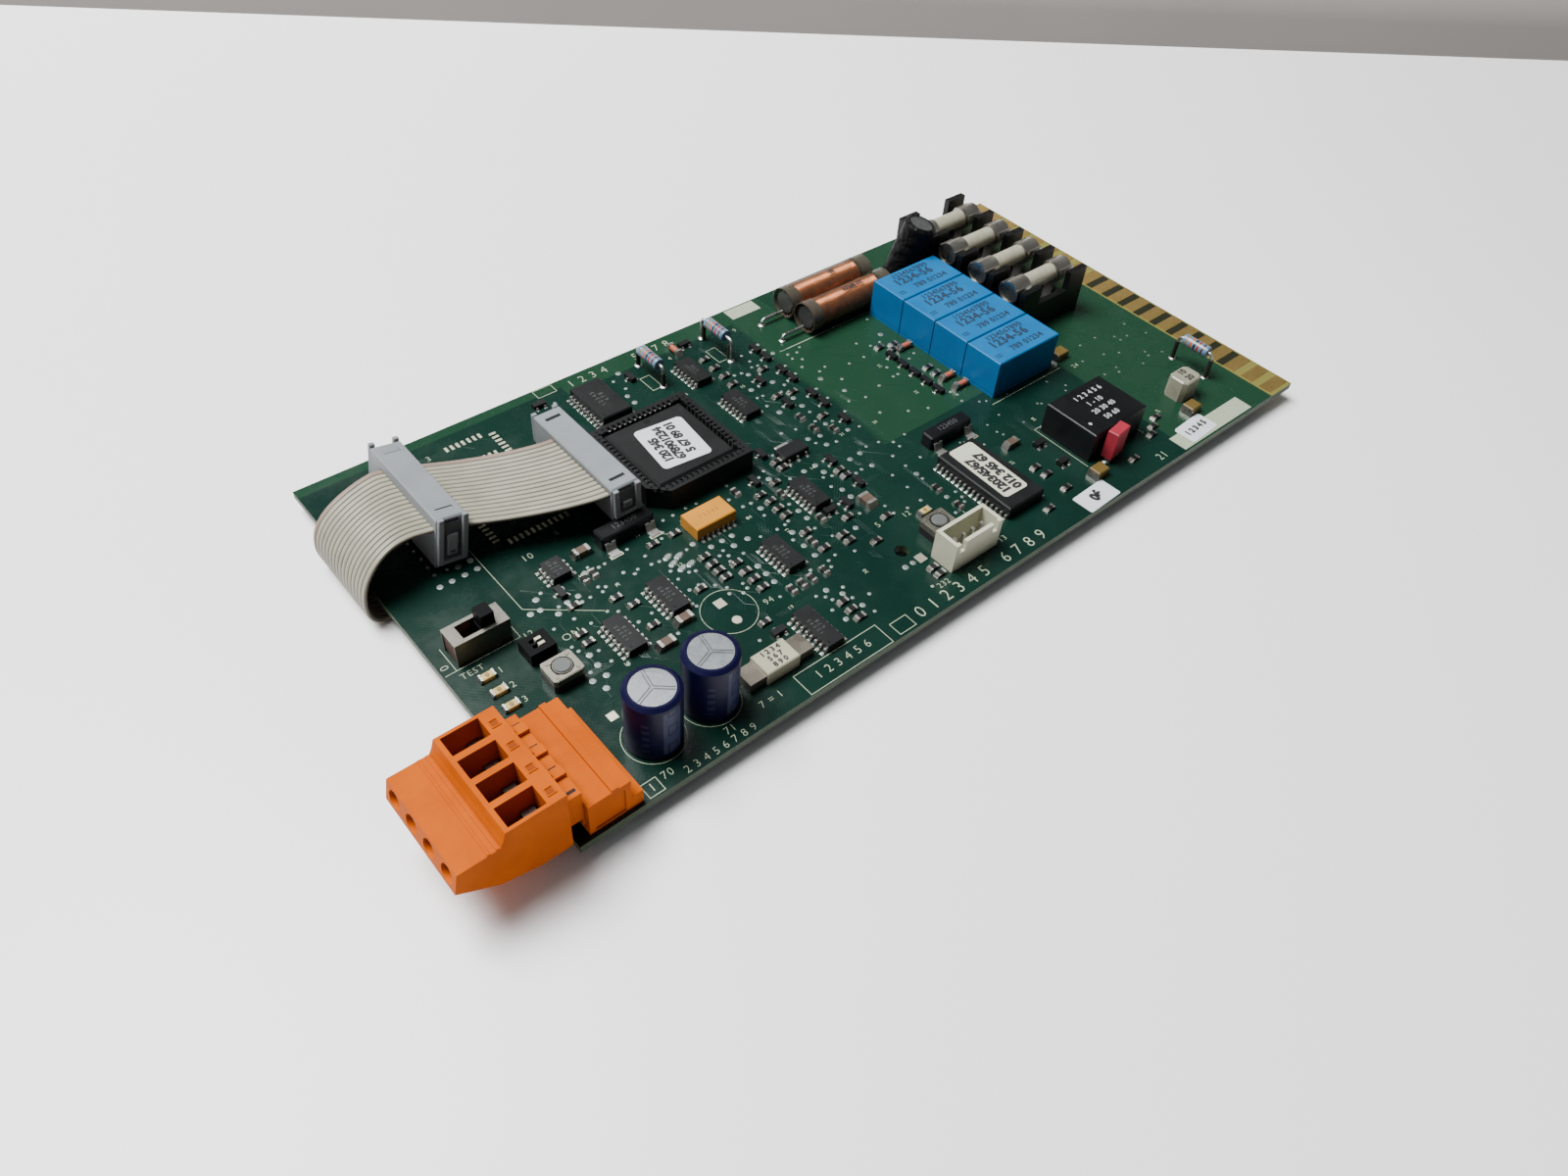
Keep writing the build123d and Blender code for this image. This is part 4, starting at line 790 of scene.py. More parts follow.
print("holes")
viaRows = {  # x from the left edge and y from the back edge; the second list holds the wide ones
    "small": "52.8,49.5 55.2,49.5 58.4,49.3 "
    "60.9,49.5 50.7,52.2 49.6,53.4 45.6,58.1 51.6,58.7 66.8,52.6 69,49 67.8,55.8 "
    "69.7,56 66.5,58.9 69.6,60.3 57,63.1 55.6,63.8 49.6,64.2 65.2,64.5 57,64.8 56.3,66.2 59.7,66 75.7,60.8 69.1,64.9 "
    "71.2,64.8 72.4,64.4 69.7,69 75.3,69.1 51.6,71.1 54.6,72.1 54.5,73.5 53.2,74 51,72.6 50.2,69.3 45.7,67.4 47.8,67.4 "
    "76.6,72.8 65.2,75.4 67,77.2 71.5,77.4 73.5,77 77.3,78.5 58,78.9 70.8,78.9 77.9,50 82.6,47.4 75.9,51 80.8,55.1 "
    "100.4,46.4 92.6,49.8 96.5,52 103.9,51.2 86.6,58.9 88.4,59.6 100.5,57 103.7,57.5 86,62 93,62 94.7,61.8 103,62.6 "
    "106.3,59.4 106.4,61.2 80.7,65.6 103,66.5 107.5,66.4 98.7,67 98.6,71.5 103,71.5 90.9,72.8 85.3,71.3 90.9,75.4 "
    "94.2,76 98,76 105.6,78.5 90.3,67.5 63.4,82.9 69,84.2 64.7,84.1 65.3,85.4 63.5,87.3 68.6,87.3 71.8,88.5 69.6,92.3 "
    "82.7,94.4 105.6,80.4 105,81.7 101.1,82.9 99.2,16.5 105,15.3 99.4,19.2 105,17.8 98.4,21.2 99.9,21.5 95.1,21.6 "
    "93.3,21.3 108.2,22.3 108.1,24.1 112.3,21.7 110.5,22.9 98.2,24.3 105,25.2 109.8,25.6 107.8,27.8 105,28.8 92.3,30.6 "
    "93.8,30.7 100.2,30.5 98,32 110,31.4 112.1,30.8 92.2,34 100.1,33.7 105.1,35.8 117.5,33.2 122,33.3 112.2,36.5 "
    "105,39.7 98.5,41.1 88.7,43 92.1,43.8 97.3,44.2 100.5,44.3 108,43.4 112.1,44.5 117.4,43.3 104.9,45.5 110.9,50.4 "
    "116.4,53.7 120.7,55.6 110,59 124.2,28.4 126.3,31 129.1,31.2 133.1,22.6 132.6,39.1 130.2,40 123.6,39.4 122.4,42.7 "
    "123.9,42.7 129,54.5 129.6,56.1 128.7,58.3 70.2,7.4 55.8,6.3 71,11 23.6,51.6 35.7,52.5 37.1,52.4 34,51.3 42.6,51.8 "
    "24.4,56.4 32.8,56.6 33.9,57.4 38.6,56.4 41.2,57.3 44.3,55.3 28.4,57.9 30.2,57.9 32.8,58.1 36,58.1 40.1,57.9 "
    "44,57.8 20.8,60.4 25,60.5 21,65.8 33.7,68.1 36.8,67.8 24.3,69.3 21.4,67.3 24.7,72.6 20.4,72.5 44.3,71.4 26.6,75 "
    "48.2,84.8 45.8,61.4 45.7,63.9 48.4,63.7 26.8,63.2 30.7,62.6 32.3,63.8 37.7,74.6",
    "wide": "53.4,58.2 70.3,58.3 55.8,60.9 58.5,60.9 60.9,60.9 59.5,63.3 62.8,63.4 75.9,63.4 75.9,66 70.9,67.3 "
    "70.3,71.5 59.7,70.3 59.7,72.8 59.6,75.3 70.3,74.7 77.2,52.6 84.6,55.1 87.7,55.1 92.1,47.8 94.9,48.5 "
    "98.5,46.2 94.1,51.5 "
    "101.1,50.6 87.8,57.7 94.9,58 97.9,57.8 97.3,62.2 87.2,64 87.2,66.6 103,69.7 81.8,73.9 103,78.5 65.9,82.9 "
    "67.8,85.4 64,90.5 68.8,89.8 105.7,19.9 96,22.9 93,27.6 98.7,28.2 108.3,33.6 98.7,35.3 93,37.3 98.5,38.5 109.8,40 "
    "131.3,29.1 72.7,5.6 69.7,13.4 69.7,16.1 22,52.5 32.8,52.2 19.4,54.9 21.3,55.1 26.2,56.4 28.6,56.3 23.4,57.8 "
    "22.4,69.2 22.3,71.9 19.6,74.3 22.2,74.7 20.6,77 82.1,87.7 84.1,87.7",
    "blobs": "47.5,58.1 47.4,60.1 49.4,59.1 48,62.1 50,62.1",
    "scale": 1.004,
    "loose": {"columns": (10.0, 12.5, 15.1, 17.7), "rows": 9, "back": 19.0, "pitch": 2.54, "size": (1.35, 1.35, 1.2)},
    "field": {"count": 46, "x": (118, 186), "y": (24, 40), "size": (0.65, 0.65, 0.6)},
}


def viaSpots(words):
    pairs = [[float(part) for part in pair.split(",")] for pair in words.split()]
    return [(x * viaRows["scale"], boardWidth - y) for x, y in pairs]


viaButton = cone(0.5 * mm, 0.34 * mm, 0.08 * mm, 8)
pick(viaButton, lambda centre, normal: normal.z > 0.5)
bpy.ops.mesh.inset(thickness=0.16 * mm, depth=-0.04 * mm)
leave()
viaPlaces = []
for kind, size in (("small", 0.82), ("wide", 1.32)):
    for x, y in viaSpots(viaRows[kind]):
        scale = size * chance.uniform(0.92, 1.08)
        viaPlaces.append((onBoard(x, y), chance.uniform(0, 40), (scale, scale, 1)))
        viaPlaces.append((onBoard(x, y, -boardThick), 0, (scale, scale, -1)))
for x, y in viaSpots(viaRows["blobs"]):
    viaPlaces.append((onBoard(x, y), 20, (2.6, 1.5, 3)))
loose, field = viaRows["loose"], viaRows["field"]
for column in loose["columns"]:
    for row in range(loose["rows"]):
        x, y = column * viaRows["scale"], boardWidth - loose["back"] - row * loose["pitch"]
        if column > 14 or row > 7:  # the others would lie under the loose socket
            viaPlaces.append((onBoard(x, y), 0, loose["size"]))
for n in range(field["count"]):  # between the relays and the gold contacts
    x, y = chance.uniform(*field["x"]), chance.uniform(*field["y"])
    viaPlaces.append((onBoard(x, y), 0, field["size"]))
fit(outward(copies(viaButton, viaPlaces)), "holeSolder", "holeTin")

print("copper tracks")
trackPlan = {
    "areas": [((18, 20, 60, 58), 34), ((50, 18, 92, 48), 44), ((78, 44, 106, 92), 40), ((92, 20, 134, 46), 26),
              ((20, 80, 62, 94), 14), ((108, 50, 134, 76), 12), ((134, 20, 186, 40), 10)],
    "pitch": 0.55, "slant": 0.7, "width": 0.13, "lift": 0.035, "legs": (2, 4), "reach": (1.5, 8.0), "lanes": (1, 4),
}


def tracks(plan, height, name):
    curve = bpy.data.curves.new(name, "CURVE")
    curve.dimensions = "3D"
    curve.bevel_depth = plan["width"] * mm
    curve.bevel_resolution = 0
    for (x0, y0, x1, y1), count in plan["areas"]:
        for run in range(count):
            x, y = chance.uniform(x0, x1), chance.uniform(y0, y1)
            heading = chance.choice(range(0, 360, 45))
            points = [(x, y)]
            for n in range(chance.randint(*plan["legs"])):
                reach = chance.uniform(*plan["reach"])
                x = min(max(x + reach * math.cos(math.radians(heading)), x0), x1)
                y = min(max(y + reach * math.sin(math.radians(heading)), y0), y1)
                points.append((x, y))
                heading += chance.choice((-45, 45))
            for lane in range(chance.randint(*plan["lanes"])):
                shift = lane * plan["pitch"] * plan["slant"]
                drawn(curve, "POLY", [(px + shift, py - shift, height) for px, py in points])
    made = linked(name, curve)
    choose(made)
    bpy.ops.object.convert(target="MESH")
    return bpy.context.object


trackTop = tracks(trackPlan, trackPlan["lift"] - trackPlan["width"], "maskTracks")
trackUnder = tracks(trackPlan, -boardThick - trackPlan["lift"] + trackPlan["width"], "underTracks")
fit([trackTop, trackUnder], "maskTracks", "trackMask")

print("printing on the board")
silk = []
for x, y, radius in ((21.1, 9.9, 5.55), (33.0, 10.1, 5.55), (48.4, 24.0, 5.4), (151.3, 85.7, 4.6)):
    silk.append(ringLine(x, y, radius))
for place in ((47.6, 0.2, 67.5, 5.3), (69.6, 0.6, 73.8, 3.7), (13.5, 0.4, 16.6, 3.4), (107.8, 79.4, 147.0, 79.6),
              (54.0, 97.0, 58.7, 99.8), (75.6, 84.8, 78.3, 90.0), (93.8, 84.4, 96.6, 89.7)):
    silk.append(frameLine(*place))
silk += [bar(156.9, 0.5, 182.2, 5.0), bar(107.0, 95.8, 115.5, 99.6)]
for ends in ((18.9, 47, 18.9, 68), (0.4, 41.6, 15.2, 41.6), (2.6, 41.6, 2.6, 47.6), (15.2, 41.6, 15.2, 47.6),
             (18.9, 47, 30.5, 37.8), (110.0, 79.5, 117.0, 79.5), (134.8, 9.9, 134.8, 25.0),
             (134.8, 25.0, 153.9, 25.0), (153.9, 9.9, 153.9, 25.0), (133.8, 36.6, 157.2, 36.6)):
    silk.append(bar(*ends, width=0.13))
silkWords = [  # plain numbers and switch words only: words, x, y, size, turn
    ("0 1 2 3 4 5   6 7 8 9", 93.6, 2.3, 3.9, 0), ("1 2 3 4", 66.8, 97.3, 3.2, 0), ("5 6 7 8", 84.0, 97.3, 3.2, 0),
    ("1 2 3 4 5 6", 57.5, 2.8, 2.6, 0), ("ON", 22.6, 36.6, 2.3, 0), ("0", 1.3, 43.4, 2.3, 90),
    ("TEST", 4.6, 39.8, 1.9, 0),
    ("1", 8.6, 37.3, 2.0, 0), ("2", 8.6, 33.3, 2.0, 0), ("3", 8.6, 29.4, 2.0, 0), ("12", 16.6, 41.2, 2.0, 0),
    ("70", 18.5, 2.6, 2.2, 0), ("71", 32.0, 3.2, 2.2, 0), ("1", 15.0, 1.9, 2.4, 0),
    ("2 3 4 5 6 7 8 9", 28.5, 1.2, 2.2, 0),
    ("7 = 1", 41.5, 3.8, 2.1, 0), ("94", 55.8, 21.6, 2.0, 0), ("5", 86.2, 24.0, 2.0, 0), ("12", 93.0, 22.8, 1.9, 0),
    ("232", 85.3, 4.8, 1.9, 0), ("13", 103.5, 6.2, 1.9, 0), ("10", 26.6, 57.6, 2.3, 0), ("1 3", 24.6, 93.2, 2.2, 0),
    ("21", 151.0, 2.4, 2.8, 0), ("4", 85.6, 92.2, 1.8, 0), ("9", 104.5, 92.2, 1.8, 0), ("14", 128.0, 96.8, 2.2, 0),
    ("1 2 3 4", 165.5, 93.2, 1.8, 0),
    ("24", 160.8, 35.0, 1.8, 0), ("8", 145.0, 27.2, 1.8, 0), ("1", 102.9, 16.0, 1.6, 0),
]
printHeight = 0.02
for words, x, y, size, turn in silkWords:
    silk.append(write(words, onBoard(x, y, printHeight), size, turn, 1.12, -0.012))
smallPlaces = ((36.0, 41.6), (48.3, 38.8), (70.8, 33.6), (87.0, 44.6), (92.5, 74.4), (80.5, 79.6), (46.5, 50.0),
               (26.5, 25.2), (58.0, 17.8), (108.0, 47.8), (99.4, 49.0), (123.0, 50.0), (123.0, 62.0), (67.0, 41.0),
               (39.6, 22.6), (111.5, 12.6), (122.5, 20.6), (137.5, 27.6), (163.0, 12.6), (75.5, 16.2), (34.6, 60.0))
for number, (x, y) in enumerate(smallPlaces, 11):
    silk.append(write(str(number), onBoard(x, y, printHeight), 1.15, chance.choice((0, 90)), spacing=1.1))
for x, y in ((48.6, 86.4), (49.9, 86.4), (51.2, 86.4), (52.5, 86.4),
             (36.2, 80.4), (37.5, 80.4), (38.8, 80.4), (40.1, 80.4)):
    silk.append(bar(x, y, x + 0.5, y + 1.4))
fit(silk, "boardPrint", "whiteInk")
padThick = 0.05
silkPads = [bar(47.2, 25.5, 49.2, 27.5, thick=padThick), bar(85.5, 11.3, 87.5, 13.3, thick=padThick),
            bar(17.2, 16.6, 18.9, 18.3, thick=padThick), tube(0.95 * mm, 0.06 * mm, onBoard(48.2, 21.5, 0.03), 16)]
for x, y, count, dx, dy in ((29.9, 93.6, 7, 1.27, 0), (29.9, 87.0, 7, 1.27, 0), (40.0, 86.3, 6, 0, 1.27),
                            (26.3, 63.2, 11, 1.27, 0), (24.2, 64.8, 7, 0, 1.27)):  # unused chip places
    wide, deep = (0.3, 0.75) if dx else (0.75, 0.3)
    for n in range(count):
        px, py = x + n * dx, y + n * dy
        silkPads.append(bar(px - wide, py - deep, px + wide, py + deep, thick=padThick))
for low, high, centre in looseBoxes("crystal_leads"):
    x, y = fromCorner(centre)[0], fromCorner(low)[1]
    silkPads.append(bar(x - 1.4, y - 0.35, x + 1.4, y + 0.5, thick=0.06))
fit(silkPads, "barePads", "barePad")

print("ends of the small parts")
endBlock = cube((1 * mm, 1 * mm, 1 * mm), (0.0, 0, 0.5 * mm))
for vertex in endBlock.data.vertices:  # the foot reaches out along the board
    if vertex.co.x > 0 and vertex.co.z < 0.1 * mm:
        vertex.co.x += 0.9 * mm
endPlaces = []
for name, share, level in (("chip_parts", 0.24, 1.0), ("ceramic_capacitors", 0.22, 1.0), ("round_resistors", 0.20, 1.0),
                           ("indicator_lamps", 0.14, 1.0), ("tantalum_capacitors", 0.12, 0.7)):
    for low, high, centre in looseBoxes(name):
        size = high - low
        length, width = max(size.x, size.y), min(size.x, size.y)
        for side in (0, 180):
            turn = side if size.x > size.y else side + 90
            out = Vector((math.cos(math.radians(turn)), math.sin(math.radians(turn)), 0))
            spot = centre + out * (length * (0.5 - share / 2) + 0.02 * mm)
            scale = (length * share / mm, width / mm + 0.05, size.z / mm * level + 0.03)
            endPlaces.append(((spot.x, spot.y, boardHigh.z), turn, scale))
fit(copies(endBlock, endPlaces), "partEnds", "endTin")

print("plug")
plug = {"poles": 4, "pitch": 5.08, "front": 0.8, "top": 14.3, "slot": 10.88, "floor": 8.18, "clamp": 8.25}
ribs, slots, wells, clamps = [], [], [], []
for n in range(plug["poles"]):
    y = plug["front"] + plug["pitch"] * (n + 0.5)
    outer = frameLine(-2.95, y - 1.25, -1.35, y + 0.35, 0.22, plug["top"] + 0.005)
    ribs.append(shaped(outer, "SOLIDIFY", thickness=0.16 * mm, offset=1))
    # painted shade: a darker plate inside each square recess on the plug top
    wells.append(bar(-2.7, y - 1.0, -1.6, y + 0.1, plug["top"]))
    slots.append(bar(0.35, y - 0.75, 1.9, y - 0.15, plug["slot"], 0.04))
    slots.append(bar(-9.5, y - 0.7, -4.6, y + 0.7, plug["floor"], 0.06))
    clamps.append(bar(-9.0, y + 0.1, -5.0, y + 0.45, plug["clamp"], 0.5))
    clamps.append(bar(-9.0, y - 0.45, -5.0, y - 0.3, plug["clamp"], 0.3))
for x in (-12.6, -14.0):
    ribs.append(bar(x, plug["front"] + 0.02, x + 0.5, plug["front"] + 20.3, 11.3, 0.28))
for n in range(1, plug["poles"]):
    y = plug["front"] + plug["pitch"] * n
    ribs.append(bar(-0.3, y - 0.2, 2.3, y + 1.7, 10.8, 0.9))
    ribs.append(bar(-0.9, y + 0.4, 0.2, y + 1.7, 10.8, 1.5))
for piece in ribs:
    softened(piece, 0.06 * mm)
fit(ribs, "plugRibs", "orangeMoulding")
fit(slots, "plugSlots", "slotShade")
fit(wells, "plugWells", "wellBrown")
fit(clamps, "clampBars", "clampSteel", smooth=40)

print("windings")
winding = {"turns": 36, "wire": 0.24, "steps": 18}
coils = []
for low, high, centre in looseBoxes("choke_windings"):
    radius = (high.z - low.z) / 2 - winding["wire"] * mm
    pitch = (high.x - low.x - 2 * winding["wire"] * mm) / winding["turns"]
    clearSelection()
    bpy.ops.mesh.primitive_circle_add(vertices=6, radius=winding["wire"] * mm, rotation=(0, math.pi / 2, 0))
    wire = settle(bpy.context.object)
    pick(wire)
    bpy.ops.mesh.select_all(action="SELECT")
    bpy.ops.transform.rotate(value=math.pi / 2, orient_axis="Z", center_override=(0, 0, 0))
    bpy.ops.transform.translate(value=(0, 0, radius))
    leave()
    shaped(wire, "SCREW", axis="X", screw_offset=pitch, iterations=winding["turns"], steps=winding["steps"],
           render_steps=winding["steps"])
    span = [vertex.co.x for vertex in wire.data.vertices]
    wire.location = centre - Vector(((min(span) + max(span)) / 2, 0, 0))
    coils.append(settle(wire))
windingPiece = joined(coils)
pick(windingPiece)
bpy.ops.mesh.remove_doubles(threshold=0.00002 * mm)
bpy.ops.mesh.normals_make_consistent(inside=False)
leave()
fit(windingPiece, "copperWindings", "enamelCopper", smooth=60, replaces=("choke_windings",))

chokeWords = []
for box, words in zip(looseBoxes("choke_sleeves"), ("12345-12", "22")):
    chokeWords.append(write(words, inkSpot(box, 1.5, -0.5, 0.01), 1.8, 0, 0.9, 0.06))
fit(chokeWords, "chokePrint", "blackInk")

print("bands and caps")
resistorBoxes = looseBoxes("axial_resistors")
bandSides = 20
for colourName, share in (("brown", 0.18), ("red", 0.36), ("black", 0.5), ("orange", 0.64), ("gold", 0.84)):
    rings = []
    for low, high, centre in resistorBoxes:
        y = low.y + (high.y - low.y) * share
        rings.append(tube((high.z - low.z) / 2 + 0.02 * mm, 0.5 * mm, (centre.x, y, centre.z), bandSides, True))
    fit(rings, colourName + "Bands", colourName + "Band", smooth=40)
ends = []
for low, high, centre in resistorBoxes:
    for y in (low.y + 0.55 * mm, high.y - 0.55 * mm):
        end = tube((high.z - low.z) / 2 + 0.05 * mm, 1.0 * mm, (centre.x, y, centre.z), bandSides, True)
        ends.append(softened(end, 0.25 * mm, 2))
fit(ends, "resistorEnds", "lacquerBlue", smooth=50)


def socketEnds(plan):  # a window with its latch between two pillars, at both ends
    greys, darks = [], []
    turned = Matrix.Translation(onBoard(*plan["base"])) @ Matrix.Rotation(math.radians(plan["lean"]), 4, "Y")
    tall = plan["tall"]
    for side in (-1, 1):
        y = side * (plan["length"] / 2 + 0.4)
        blocks = [(greys, x, y, 1.0, tall + plan["proud"], 1.1, 0.9) for x in (-2.45, 2.45)]
        blocks += [(greys, 0.0, y, 1.0, 1.8, 3.8, 0.8), (greys, 0.0, y - side * 0.1, 2.7, tall - 3.6, 2.1, 0.6),
                   (darks, 0.0, y - side * 0.37, 1.8, tall - 1.1, 3.8, 0.08),
                   (darks, 0.0, y, 3.3, 3.7, 1.0, 0.62)]
        if plan["plain"]:  # this cover has no key slots
            blocks.append((greys, 0.0, side * (plan["length"] / 2 - 2.6), tall - 0.6, tall, 3.4, 0.9))
        for kind, x, along, low, high, wide, deep in blocks:
            made = cube((wide * mm, deep * mm, (high - low) * mm), (x * mm, along * mm, (low + high) / 2 * mm))
            made.matrix_world = turned @ made.matrix_world
            kind.append(settle(made))
    for piece in greys:
        softened(piece, 0.12 * mm)
    return greys, darks


print("socket ends")
greyBlocks, darkBlocks = [], []
for plan in ({"base": (46.75, 67.5, 2.5), "length": 27.57, "tall": 7.8, "lean": 0.0, "proud": 0.0, "plain": False},
             {"base": (14.4, 76.8, 0.55), "length": 25.27, "tall": 11.0, "lean": 10.0, "proud": 0.45, "plain": True}):
    greys, darks = socketEnds(plan)
    greyBlocks += greys
    darkBlocks += darks
fit(greyBlocks, "socketPillars", "socketGrey")
fit(darkBlocks, "socketWindows", "endShade")
rimLow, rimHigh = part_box("carrier_socket")
rimMiddle = middleOf((rimLow, rimHigh))
rim = {"pitch": 1.27, "beside": 8, "reaches": (11.1, 10.25), "deep": 0.42, "wide": 0.62}
rimPlaces = []
for n in range(-rim["beside"], rim["beside"] + 1):
    step = n * rim["pitch"] * mm
    for out in [side * reach * mm for side in (1, -1) for reach in rim["reaches"]]:
        rimPlaces.append(((rimMiddle.x + out, rimMiddle.y + step, rimHigh.z), 0, (rim["deep"], rim["wide"], 1)))
        rimPlaces.append(((rimMiddle.x + step, rimMiddle.y + out, rimHigh.z), 0, (rim["wide"], rim["deep"], 1)))
rimBlock = cube((1 * mm, 1 * mm, 0.02 * mm), (0, 0, 0.004 * mm))
fit(copies(rimBlock, rimPlaces), "rimSlots", "rimShade")

sleeves = []
for low, high, centre in resistorBoxes:
    for y in (low.y - 1.45 * mm, high.y + 1.45 * mm):
        tall = low.z - boardHigh.z - 0.2 * mm
        sleeves.append(tube(0.52 * mm, tall, (centre.x, y, boardHigh.z + 0.15 * mm + tall / 2), 12))
fit(sleeves, "leadSleeves", "leadSleeve", smooth=40)
lenses = [tube(0.42 * mm, 0.14 * mm, inkSpot(box, lift=0.05), 12) for box in looseBoxes("indicator_lamps")]
fit(lenses, "lampLenses", "lensTan", smooth=40)

print("printing on the parts")
chipWords = []
chipLines = "1 2 3 4 5\n6 7 8"
for name, words, size, turn in (("narrow_chips", chipLines, 1.15, 90), ("wide_chip", chipLines, 1.5, 90),
                                ("crystal_cans", "123450", 1.9, 0)):
    chipWords += [write(words, inkSpot(box), size, turn) for box in looseBoxes(name)]
fit(chipWords, "chipPrint", "greyInk")
dots = []
for name in ("narrow_chips", "wide_chip", "memory_chip"):
    for low, high, centre in looseBoxes(name):
        dots.append(((low.x + 0.75 * mm, low.y + 0.75 * mm, high.z), 0, (1, 1, 1)))
low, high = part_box("carrier_chip")
dots.append(((low.x + 9.5 * mm, high.y - 1.6 * mm, high.z), 0, (2, 2, 1)))
dotDisc = cone(0.34 * mm, 0.30 * mm, 0.012 * mm, 14)
fit(copies(dotDisc, dots), "pinMarks", "caseBlack")

relayWords = []
for low, high, centre in looseBoxes("relays"):
    for words, dx, dy, size in (("1234567890", 0.0, 3.2, 2.1), ("1234-56", -0.9, 0.9, 3.3),
                                ("789 01234", 1.6, -2.4, 2.2)):
        relayWords.append(write(words, inkSpot((low, high), dx, dy), size, 0, 1.1, 0.045))
    left, front = fromCorner(low)[:2]
    for lift in (1.8, 2.5):
        relayWords.append(bar(left + 1.2, front + lift, left + 3.0, front + lift + 0.3, fromCorner(high)[2], 0.01))
fit(relayWords, "relayPrint", "darkInk")

caseWords = []
low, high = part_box("transformer")
for words, dx, dy in (("1 2 3 4 5 6", 1.4, 3.9), ("1 - 10", 0.6, 1.2), ("20 30 40", 0.6, -1.3), ("50 60", 0.2, -3.8)):
    caseWords.append(write(words, inkSpot((low, high), dx, dy), 1.9, 0, 1.05, 0.02))
dot = cone(0.42 * mm, 0.40 * mm, 0.012 * mm, 16)
dot.location = (low.x + 2.2 * mm, low.y + 3.4 * mm, high.z)
caseWords.append(settle(dot))
fit(caseWords, "casePrint", "paleInk")

chipLabel = fromCorner(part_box("carrier_chip")[1])[2] + 0.104  # heights of the two labels' faces
longLabel = fromCorner(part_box("memory_chip")[1])[2] + 0.154
labelPlan = (  # words, x, y, height, size, turn and spacing
    ("120 345", 61.9, 63.0, chipLabel, 2.7, 84, 0.9, 0.06), ("678901234", 64.5, 63.8, chipLabel, 2.7, 84, 0.9, 0.06),
    ("5 67 89 01", 67.3, 64.2, chipLabel, 2.7, 84, 0.9, 0.06),
    ("120345/67", 112.4, 18.9, longLabel, 2.9, 88.5, 0.95, 0.06),
    ("012 345 67", 115.2, 18.9, longLabel, 2.9, 88.5, 0.95, 0.06),
    ("06", 129.0, 2.9, 0.105, 3.0, 18, 1.0, 0.08), ("1 2 3 4 5", 165.1, 3.7, 0.105, 2.0, 3, 1.0, 0.07),
)
labelWords = []
for words, x, y, height, size, turn, spacing, bold in labelPlan:
    labelWords.append(write(words, onBoard(x, y, height), size, turn, spacing, bold))
for name, words, size in (("small_fuse_holder", "1 2 3 4\n5 6 7\n8 9 0", 1.5), ("square_choke", "10\n20", 2.2)):
    labelWords.append(write(words, inkSpot(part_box(name)), size, 0, 1.0, 0.05))
fit(labelWords, "labelPrint", "blackInk")
networkWords = write("1 2 3 4 5", inkSpot(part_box("resistor_network")), 1.3)
fit(networkWords, "networkPrint", "brownInk")

print("can tops, switches and fuses")
scores = []
for low, high, centre in looseBoxes("blue_sleeves"):
    for turn in (80, 200, 320):
        for aside in (-0.26, 0.26):
            arm = cube((3.5 * mm, 0.14 * mm, 0.05 * mm), (1.95 * mm, aside * mm, 0))
            arm.rotation_euler.z = math.radians(turn)
            arm.location = (centre.x, centre.y, high.z - 0.085 * mm)
            scores.append(settle(arm))
fit(scores, "ventScores", "scoreShade")

plates, gaps = [], []
for low, high, centre in looseBoxes("push_switches"):
    clearSelection()
    bpy.ops.mesh.primitive_cylinder_add(vertices=24, radius=1.75 * mm, depth=0.2 * mm, end_fill_type="NOTHING",
                                        location=inkSpot((low, high), lift=0.06))
    rim = settle(bpy.context.object)
    (left, front, foot), (right, back, top) = fromCorner(low), fromCorner(high)
    plate = frameLine(left + 0.15, front + 0.15, right - 0.15, back - 0.15, 1.02, top + 0.11)
    plates += [shaped(sheet, "SOLIDIFY", thickness=0.1 * mm) for sheet in (rim, plate)]
    gaps.append(ringLine((left + right) / 2, (front + back) / 2, 1.88, 0.22, top + 0.12, 24))
    for dx, dy in ((-2.1, -1.75), (-2.1, 1.75), (2.1, -1.75), (2.1, 1.75)):
        plates.append(softened(tube(0.36 * mm, 0.18 * mm, inkSpot((low, high), dx, dy, 0.12), 12), 0.06 * mm))
fit(plates, "switchPlates", "plateMetal", smooth=40)
fit(gaps, "buttonGaps", "rimShade")

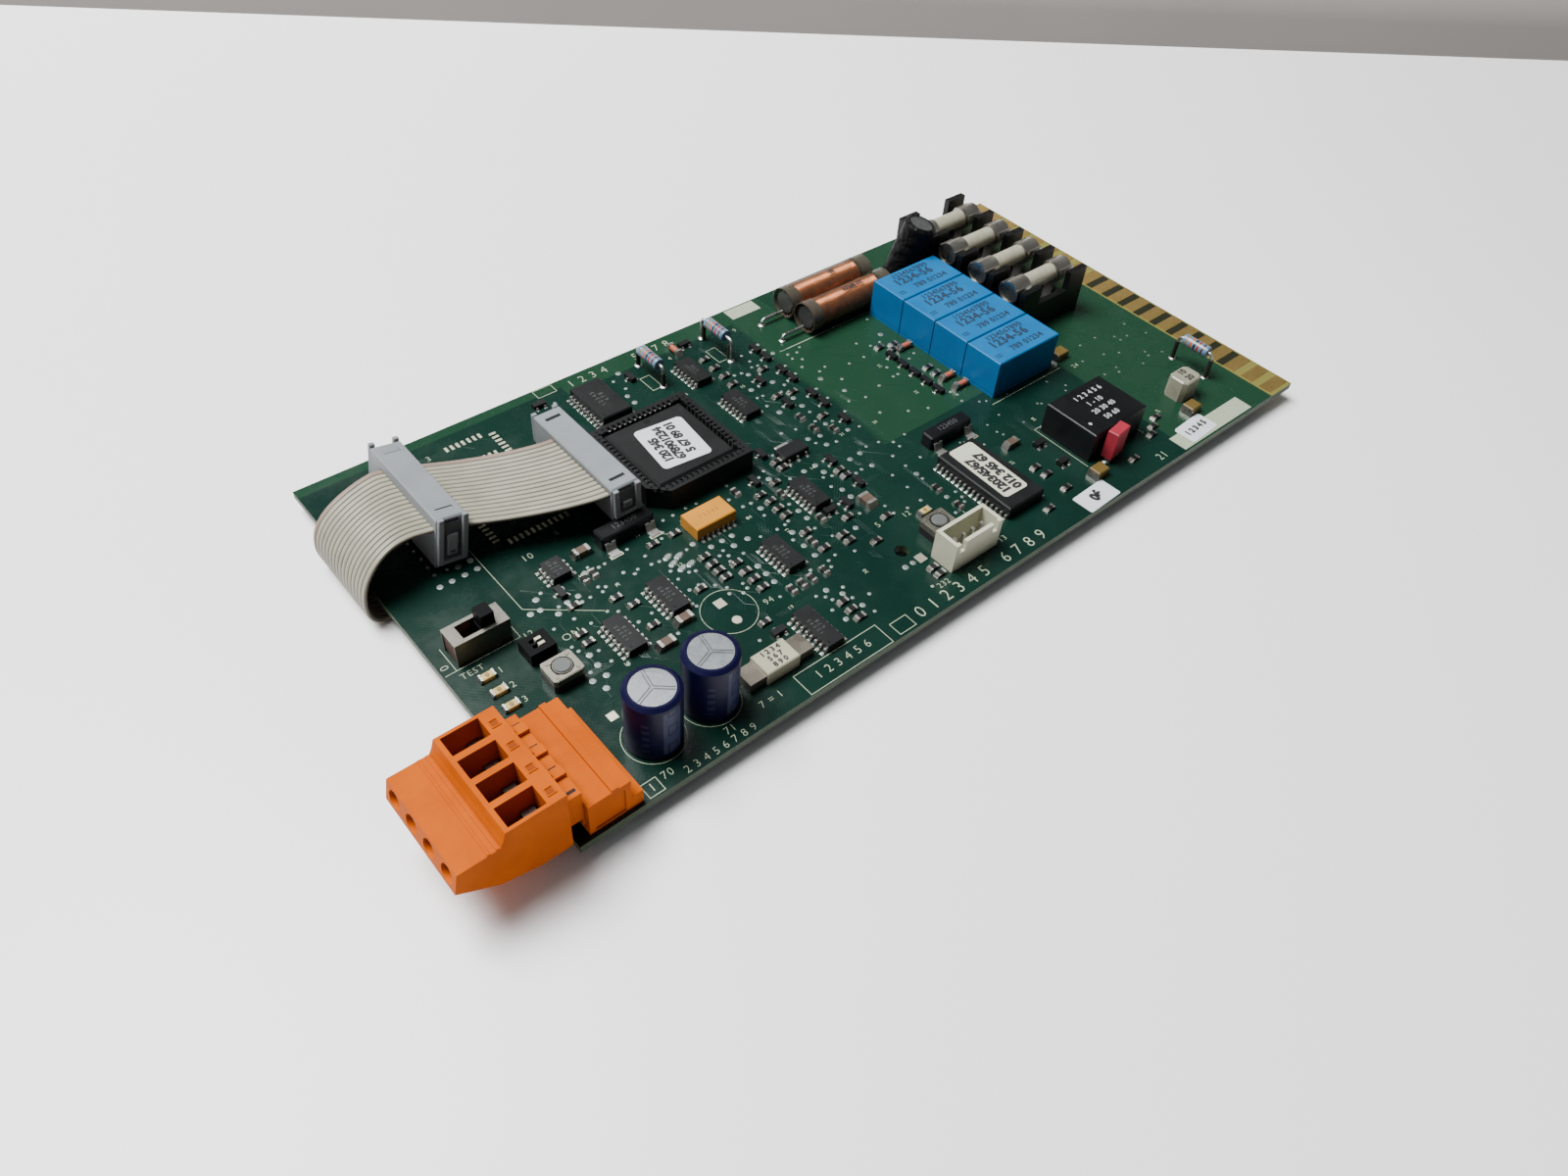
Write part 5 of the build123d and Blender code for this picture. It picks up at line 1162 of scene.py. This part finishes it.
print("floor and light")
table = {"far": (248.4, 215.4), "heading": -36.44, "width": 3.0, "depth": 1.8, "wall": 0.16, "gap": 0.04}
heading = Matrix.Rotation(math.radians(table["heading"]), 4, "Z")
farEdge = onBoard(*table["far"])
farEdge.z = 0
clearSelection()
bpy.ops.mesh.primitive_plane_add(size=1)
floor = bpy.context.object
floor.name = "floor"
floor.scale = (table["width"], table["depth"], 1)
settle(floor)
floor.matrix_world = Matrix.Translation(farEdge) @ heading @ Matrix.Translation((0, -table["depth"] / 2, 0))
floorFinish, floorPlace = startFinish("floorPaint")
soft = noise(floorPlace, 260.0, 2.0)
fine = noise(floorPlace, 1.2, 2.0)
floorTint = blendColours(soft, (0.83, 0.83, 0.835), (0.88, 0.88, 0.88))
floor.data.materials.append(dress(floorFinish, floorPlace, fine, 0.01, colour=floorTint, roughness=0.36 + 0.1 * soft))
wall = cube((table["width"], 0.02, table["wall"]))
wall.name = "wall"
wall.matrix_world = Matrix.Translation(farEdge) @ heading @ Matrix.Translation((0, table["gap"], 0))
wallFinish, wallPlace = startFinish("wallPaint")
soft = noise(wallPlace, 60.0, 3.0)
wallTint = blendColours(soft, (0.70, 0.64, 0.60), (0.78, 0.72, 0.67))
wall.data.materials.append(dress(wallFinish, wallPlace, soft, 0.01, colour=wallTint, roughness=0.6 + 0.1 * soft))

light = {
    "over": {"place": (-0.26, 0.34, 0.90), "size": 0.55, "power": 31.5, "aim": (0, 0, 0)},
    "left": {"place": (-0.80, 0.10, 0.50), "size": 0.7, "power": 0.6, "aim": (0, 0, 0)},
    "front": {"place": (0.35, -0.85, 0.65), "size": 0.9, "power": 0.3, "aim": (0, 0, 0)},
}
for name, plan in light.items():
    bpy.ops.object.light_add(type="AREA", location=plan["place"])
    lamp = bpy.context.object
    lamp.name = name + "Light"
    lamp.data.shape = "SQUARE"
    lamp.data.size = plan["size"]
    lamp.data.energy = plan["power"]
    aim = Vector(plan["aim"]) - Vector(plan["place"])
    lamp.rotation_euler = aim.to_track_quat("-Z", "Y").to_euler()
world = bpy.data.worlds.new("studio")
bpy.context.scene.world = world
world.use_nodes = True
world.node_tree.nodes["Background"].inputs["Color"].default_value = (0.80, 0.81, 0.83, 1)
world.node_tree.nodes["Background"].inputs["Strength"].default_value = 0.15

print("done")
